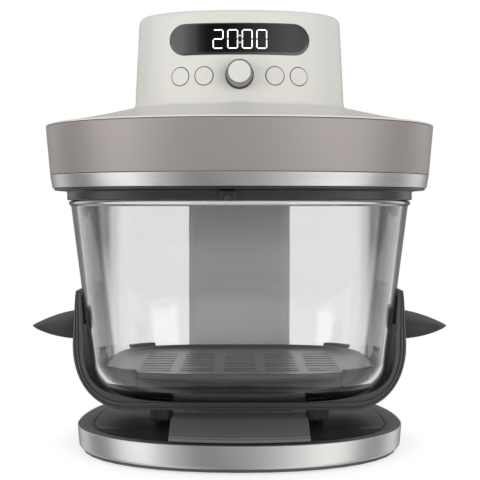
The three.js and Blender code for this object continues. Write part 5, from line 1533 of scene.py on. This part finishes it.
class FRYER_OT_hot_air(bpy.types.Operator):
    """Hot-air unit: reflector, guard and heater over the bowl's mouth"""

    bl_idname = "fryer.hot_air"
    bl_label = "Hot-air unit"

    def execute(self, context):
        self.reflector()
        self.guard()
        self.heater()
        return {"FINISHED"}

    def dish(self, half, z, power=MOUTH[3]):
        """A section of the mouth's outline, scaled to a half width."""
        depth = half * MOUTH[1] / MOUTH[0]
        return [half, depth, depth, power, z]

    def reflector(self):
        """A pressed dish with a flange: its profile carried round the mouth's outline, open at the shaft."""
        low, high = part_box("heater_pan")
        wall, flange, draw, bore = 1.2 * MM, 8 * MM, 7 * MM, 6 * MM
        outer, half = high.x, high.x - flange
        sections = [
            self.dish(bore, high.z, 2), self.dish(half - draw, high.z), self.dish(half, low.z + wall),
            self.dish(outer, low.z + wall), self.dish(outer, low.z), self.dish(half - wall, low.z),
            self.dish(half - draw - wall, high.z - wall), self.dish(bore, high.z - wall, 2),
        ]
        radii = np.array([0.3, 6, 1.5, 0.5, 0.3, 2, 5, 0.3]) * MM
        piece("heat_reflector", [hoop(sections, radii, 160)], finish("aluminium"), "root",
              ["heater_pan"], sharp=50)

    def guard(self):
        """Four wires bent round scaled outlines of the mouth, six spokes and a hub, round in section.

        A spoke ends at r = R / (|c|^n + |s w / d|^n)^(1/n), the outline's reach with w and d the mouth's half
        width and depth.
        """
        low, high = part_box("heater_guard")
        hub, rings, spokes, wire_half, end, soft = 14 * MM, 4, 6, 1.05 * MM, 1.2 * MM, 0.7 * MM
        wide, deep, _, power = MOUTH
        outer, middle = high.x, (low.z + high.z) / 2
        wire = ring_profile(wire_half, (high.z - low.z) / 2)
        grids = []
        for i in range(rings):
            half = hub + (outer - hub) * (i + 1) / rings - wire_half
            path = loft([self.dish(half, middle)], 160)[0]
            grids.append(grid(carried(path, wire, (0, 0, 1), closed=True), wrap_rows=True))
        for i in range(spokes):
            angle = TURN * (i + 0.5) / spokes
            c, s = math.cos(angle), math.sin(angle)
            spoke = (outer - end) / (abs(c) ** power + abs(s * wide / deep) ** power) ** (1 / power)
            path = np.array([[hub * 0.8], [spoke]]) * [c, s, 0] + [0, CENTRE_Y, middle]
            grids.append(grid(carried(path, wire * 0.9, (0, 0, 1)), caps=True))
        disc = turned(softened([(0, low.z), (hub, low.z), (hub, high.z), (0, high.z)], soft), 64)
        grids.append(grid(disc + [0, CENTRE_Y, 0]))
        piece("wire_guard", grids, finish("plated"), "root", ["heater_guard"], sharp=50)

    def heater(self):
        """A tube on one smooth path: the inner riser, three turns of a spiral and the riser at its outer end.

        In the spiral r = inner + (outer - inner) a / A, with a the angle turned and A the whole angle.
        """
        low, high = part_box("heater_coil")
        tube, band, bend, turns = 3 * MM, 22 * MM, 9 * MM, 3
        outer, z = high.x - tube, low.z + tube
        inner, whole = outer - band, turns * TURN
        t = np.linspace(0, math.pi / 2, 9)
        first, last = bend / inner, bend / outer
        riser = np.linspace(high.z, z + bend, 5)[:-1]
        spiral = np.linspace(first, whole - last, turns * 64)[1:-1]
        climb = z + bend * (1 - np.sin(t))
        angle = np.concatenate([
            0 * riser, first * (1 - np.cos(t)), spiral,
            whole - last * (1 - np.cos(t[::-1])), whole + 0 * riser])
        height = np.concatenate([riser, climb, z + 0 * spiral, climb[::-1], riser[::-1]])
        radius = inner + (outer - inner) * angle / whole
        out = np.stack([np.cos(angle), np.sin(angle), 0 * angle], -1)
        path = radius[:, None] * out + [0, CENTRE_Y, 0]
        path[:, 2] = height
        piece("heater_element", [grid(carried(path, ring_profile(tube, tube, 16), out), caps=True)],
              finish("heater_tube"), "root", ["heater_coil"], sharp=60)


CARRIED_OVER = {
    "base_pan": "dark_plastic", "lever_pin": "plated", "column_post": "plated",
    "knob_encoder": "dark_plastic", "knob_shaft": "plated", "control_board": "circuit_board",
    "fan": "aluminium", "fan_shaft": "plated", "cooling_fan": "dark_plastic", "motor": "aluminium",
    "motor_bracket": "plated",
}


class FRYER_OT_inner_parts(bpy.types.Operator):
    """Inner parts that keep the frame's shape, each with its own finish"""

    bl_idname = "fryer.inner_parts"
    bl_label = "Inner parts"

    def execute(self, context):
        for node, name in CARRIED_OVER.items():
            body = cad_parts[node]
            body.data.materials.clear()
            body.data.materials.append(finish(name))
        return {"FINISHED"}


def light_path(tree, *names):
    """The largest of several Light Path outputs, so 1 for each kind of ray that is named."""
    paths = add_node(tree, "ShaderNodeLightPath").outputs
    value = paths[names[0]]
    for name in names[1:]:
        value = computed(tree, "MAXIMUM", value, paths[name])
    return value


def azimuth(tree, vector):
    """How far a direction is turned from the back: (1 + atan2(x, -y) / pi) / 2, which is 0.5 in front."""
    parts = split(tree, vector)
    turn = computed(tree, "ARCTAN2", parts["X"], computed(tree, "MULTIPLY", parts["Y"], -1.0))
    return computed(tree, "MULTIPLY_ADD", turn, 0.5 / math.pi, 0.5)


# What gloss sees of the studio at the horizon, in the floor and above: places by azimuth, with their levels.
STUDIO_PANELS = [
    (0.0, 0.14), (0.065, 0.16), (0.12, 0.53), (0.185, 0.14), (0.23, 0.18), (0.285, 0.88), (0.33, 1.0),
    (0.39, 0.4), (0.45, 0.2), (0.5, 0.4), (0.55, 0.66), (0.635, 1.0), (0.69, 1.0), (0.74, 0.3), (0.785, 0.2),
    (0.87, 0.66), (0.93, 0.16), (1.0, 0.14),
]
FLOOR_PANELS = [
    (0.0, 0.114), (0.065, 0.164), (0.12, 0.458), (0.185, 0.131), (0.23, 0.164), (0.29, 0.704), (0.33, 0.818),
    (0.39, 0.294), (0.45, 0.14), (0.5, 0.204), (0.55, 0.328), (0.6, 0.556), (0.65, 0.818), (0.68, 0.778),
    (0.74, 0.246), (0.785, 0.164), (0.87, 0.508), (0.93, 0.164), (1.0, 0.114),
]
UPPER_PANELS = [
    (0.0, 0.273), (0.2, 0.545), (0.28, 0.682), (0.3625, 0.709), (0.4035, 0.336), (0.4215, 0.082),
    (0.44, 0.018), (0.4815, 0.018), (0.517, 0.1), (0.5425, 0.173), (0.5735, 0.3), (0.61, 0.382),
    (0.66, 0.291), (0.72, 0.273), (0.8, 0.545), (1.0, 0.273),
]
CEILING = (0.75, 0.75, 0.75, 1)
WHITE = (1, 1, 1, 1)
PANEL_LEVEL = 1.65
# Heights of a direction, as its Z, between which the upper panels and then the ceiling take over.
UPPER_START, UPPER_END = 0.2, 0.28
CEILING_START, CEILING_END = 0.45, 0.8


def panels(tree, direction, low_stops):
    """Panels round the horizon, others above them, and an even ceiling on top."""
    turn, height = azimuth(tree, direction), split(tree, direction)["Z"]
    upper = mapped(tree, height, UPPER_START, UPPER_END, smooth=True)
    colour = blended(tree, upper, ramp(tree, turn, low_stops), ramp(tree, turn, UPPER_PANELS))
    return blended(tree, mapped(tree, height, CEILING_START, CEILING_END, smooth=True), colour, CEILING)


class FRYER_OT_stage(bpy.types.Operator):
    """Stage: pale floor, white surroundings, soft lamps and the camera"""

    bl_idname = "fryer.stage"
    bl_label = "Floor, lamps and camera"

    def execute(self, context):
        scene = context.scene
        scene.view_settings.view_transform = "Standard"
        self.camera(scene)
        self.floor(scene)
        self.world(scene)
        self.lamps(scene)
        return {"FINISHED"}

    def camera(self, scene):
        """A level look along +Y, with the horizon 33 pixels of 480 above the middle, as in the photograph."""
        stage, width, shift_right, shift_up = scene.fryer_stage, 480, 0.5, 33
        data = bpy.data.cameras.new("camera")
        data.lens, data.sensor_width = stage.lens, 36
        data.clip_start, data.clip_end = 0.05, 60
        data.shift_x, data.shift_y = shift_right / width, -shift_up / width
        made = bpy.data.objects.new("camera", data)
        made.location = (0, CENTRE_Y - stage.camera_distance, stage.camera_height)
        made.rotation_euler = (math.pi / 2, 0, 0)
        scene.collection.objects.link(made)
        scene.camera = made

    def floor(self, scene):
        """A board of 40 m by 40 m under the object."""
        half = 20
        mesh = bpy.data.meshes.new("floor")
        corners = [(-half, -half, 0), (half, -half, 0), (half, half, 0), (-half, half, 0)]
        mesh.from_pydata(corners, [], [(0, 1, 2, 3)])
        made = bpy.data.objects.new("floor", mesh)
        scene.collection.objects.link(made)
        mesh.materials.append(self.board())

    def board(self):
        """Matt white that takes the base's shadow and turns to the surroundings' white further out.

        The turn is a smooth step of the distance from the base's middle, as a share of the base's outline.
        """
        fade_start, fade_end, lift_level = 0.97, 1.22, 0.68
        plain, under_lens = (0.9, 0.9, 0.9, 1), (0.45, 0.45, 0.45, 1)
        material = bpy.data.materials.new("floor_board")
        material.use_nodes = True
        tree = material.node_tree
        tree.nodes.clear()
        half_depth, rear = (BAND[1] + BAND[2]) / 2, (BAND[2] - BAND[1]) / 2
        spread = output_of(tree, "Vector", "ShaderNodeMapping", {
            "Vector": output_of(tree, "Object", "ShaderNodeTexCoord"),
            "Location": (0, -(CENTRE_Y + rear) / half_depth, 0), "Scale": (1 / BAND[0], 1 / half_depth, 1)})
        distance = output_of(tree, "Value", "ShaderNodeVectorMath", {0: spread}, operation="LENGTH")
        seen = light_path(tree, "Is Camera Ray", "Is Transmission Ray")
        share = computed(tree, "MULTIPLY", mapped(tree, distance, fade_start, fade_end, smooth=True), seen)
        shade = blended(tree, seen, plain, under_lens)
        matt = output_of(tree, "BSDF", "ShaderNodeBsdfDiffuse", {"Color": shade})
        lift = self.glow(tree, "Emission", WHITE, computed(tree, "MULTIPLY", seen, lift_level))
        near = output_of(tree, "Shader", "ShaderNodeAddShader", {0: matt, 1: lift})
        far = self.glow(tree, "Emission", WHITE, 1.0)
        plain_board = output_of(tree, "Shader", "ShaderNodeMixShader", {0: share, 1: near, 2: far})
        towards = output_of(tree, "Incoming", "ShaderNodeNewGeometry")
        onwards = output_of(tree, "Vector", "ShaderNodeVectorMath", {0: towards, "Scale": -1.0},
                            operation="SCALE")
        mirrored = self.glow(tree, "Emission", panels(tree, onwards, FLOOR_PANELS), PANEL_LEVEL)
        glossy, through = light_path(tree, "Is Glossy Ray"), light_path(tree, "Is Transmission Ray")
        gloss = computed(tree, "SUBTRACT", glossy, through, use_clamp=True)
        whole = output_of(tree, "Shader", "ShaderNodeMixShader", {0: gloss, 1: plain_board, 2: mirrored})
        add_node(tree, "ShaderNodeOutputMaterial", {"Surface": whole})
        return material

    def glow(self, tree, kind, colour, strength):
        """An Emission or Background shader."""
        return output_of(tree, kind, "ShaderNode" + kind, {"Color": colour, "Strength": strength})

    def world(self, scene):
        """White for lens and glass, studio panels for gloss, a grey that darkens overhead for the rest."""
        horizon_level, top_level, fall_start, fall_end = 0.76, 0.3, 0.1, 0.8
        world = bpy.data.worlds.new("studio")
        scene.world = world
        world.use_nodes = True
        tree = world.node_tree
        tree.nodes.clear()
        direction = output_of(tree, "Generated", "ShaderNodeTexCoord")
        height = split(tree, direction)["Z"]
        level = mapped(tree, height, fall_start, fall_end, horizon_level, top_level, smooth=True)
        gloss = self.glow(tree, "Background", panels(tree, direction, STUDIO_PANELS), PANEL_LEVEL)
        fill = self.glow(tree, "Background", WHITE, level)
        lit = output_of(tree, "Shader", "ShaderNodeMixShader", {
            0: light_path(tree, "Is Glossy Ray"), 1: fill, 2: gloss})
        seen = light_path(tree, "Is Camera Ray", "Is Transmission Ray")
        whole = output_of(tree, "Shader", "ShaderNodeMixShader", {
            0: seen, 1: lit, 2: self.glow(tree, "Background", WHITE, 1.0)})
        add_node(tree, "ShaderNodeOutputWorld", {"Surface": whole})

    def lamps(self, scene):
        """Soft boxes left, right and overhead, aimed at the object; gloss sees the panels instead."""
        level, aim_height = scene.fryer_stage.lamp_level, 0.17
        aim = Vector((0, CENTRE_Y, aim_height))
        for name, place, width, height, watts in (
                ("left_box", (-0.95, -0.9, 0.3), 0.7, 0.8, 5.0),
                ("right_box", (0.65, -1.1, 0.3), 0.7, 0.8, 5.6),
                ("top_box", (0.0, -0.15, 1.35), 1.1, 0.9, 1.6)):
            data = bpy.data.lights.new(name, "AREA")
            data.shape, data.size, data.size_y, data.energy = "RECTANGLE", width, height, watts * level
            made = bpy.data.objects.new(name, data)
            made.location = place
            made.visible_glossy = False
            made.rotation_euler = (aim - Vector(place)).to_track_quat("-Z", "Y").to_euler()
            scene.collection.objects.link(made)


OPERATORS = (
    FRYER_OT_stage, FRYER_OT_base, FRYER_OT_lift, FRYER_OT_column, FRYER_OT_bowl, FRYER_OT_cradle,
    FRYER_OT_crisper, FRYER_OT_head_rings, FRYER_OT_cover, FRYER_OT_display, FRYER_OT_controls,
    FRYER_OT_hot_air, FRYER_OT_inner_parts,
)


class FRYER_PT_panel(bpy.types.Panel):
    """Lists the steps that build the air fryer, with its sizes, colours and stage"""

    bl_idname = "FRYER_PT_panel"
    bl_label = "Glass Air Fryer"
    bl_space_type = "VIEW_3D"
    bl_region_type = "UI"
    bl_category = "Air Fryer"

    def draw(self, context):
        column = self.layout.column(align=True)
        for operator in OPERATORS:
            column.operator(operator.bl_idname)
        for group in ("fryer_stage", "fryer_colours", "fryer_sizes"):
            box = self.layout.box()
            for name in getattr(context.scene, group).bl_rna.properties.keys():
                if name not in ("rna_type", "name"):
                    box.prop(getattr(context.scene, group), name)


GROUPS = {"fryer_colours": FRYER_PG_colours, "fryer_sizes": FRYER_PG_sizes, "fryer_stage": FRYER_PG_stage}


def register():
    """Makes the classes known to Blender and hangs the groups on the scene."""
    for group in (*GROUPS.values(), *OPERATORS, FRYER_PT_panel):
        bpy.utils.register_class(group)
    for name, group in GROUPS.items():
        setattr(bpy.types.Scene, name, bpy.props.PointerProperty(type=group))


def unregister():
    """Takes them away again."""
    for name in GROUPS:
        delattr(bpy.types.Scene, name)
    for group in reversed((*GROUPS.values(), *OPERATORS, FRYER_PT_panel)):
        bpy.utils.unregister_class(group)


def main():
    """Builds everything in order."""
    register()
    for operator in OPERATORS:
        getattr(bpy.ops.fryer, operator.bl_idname.split(".")[1])()


if __name__ == "__main__":
    main()
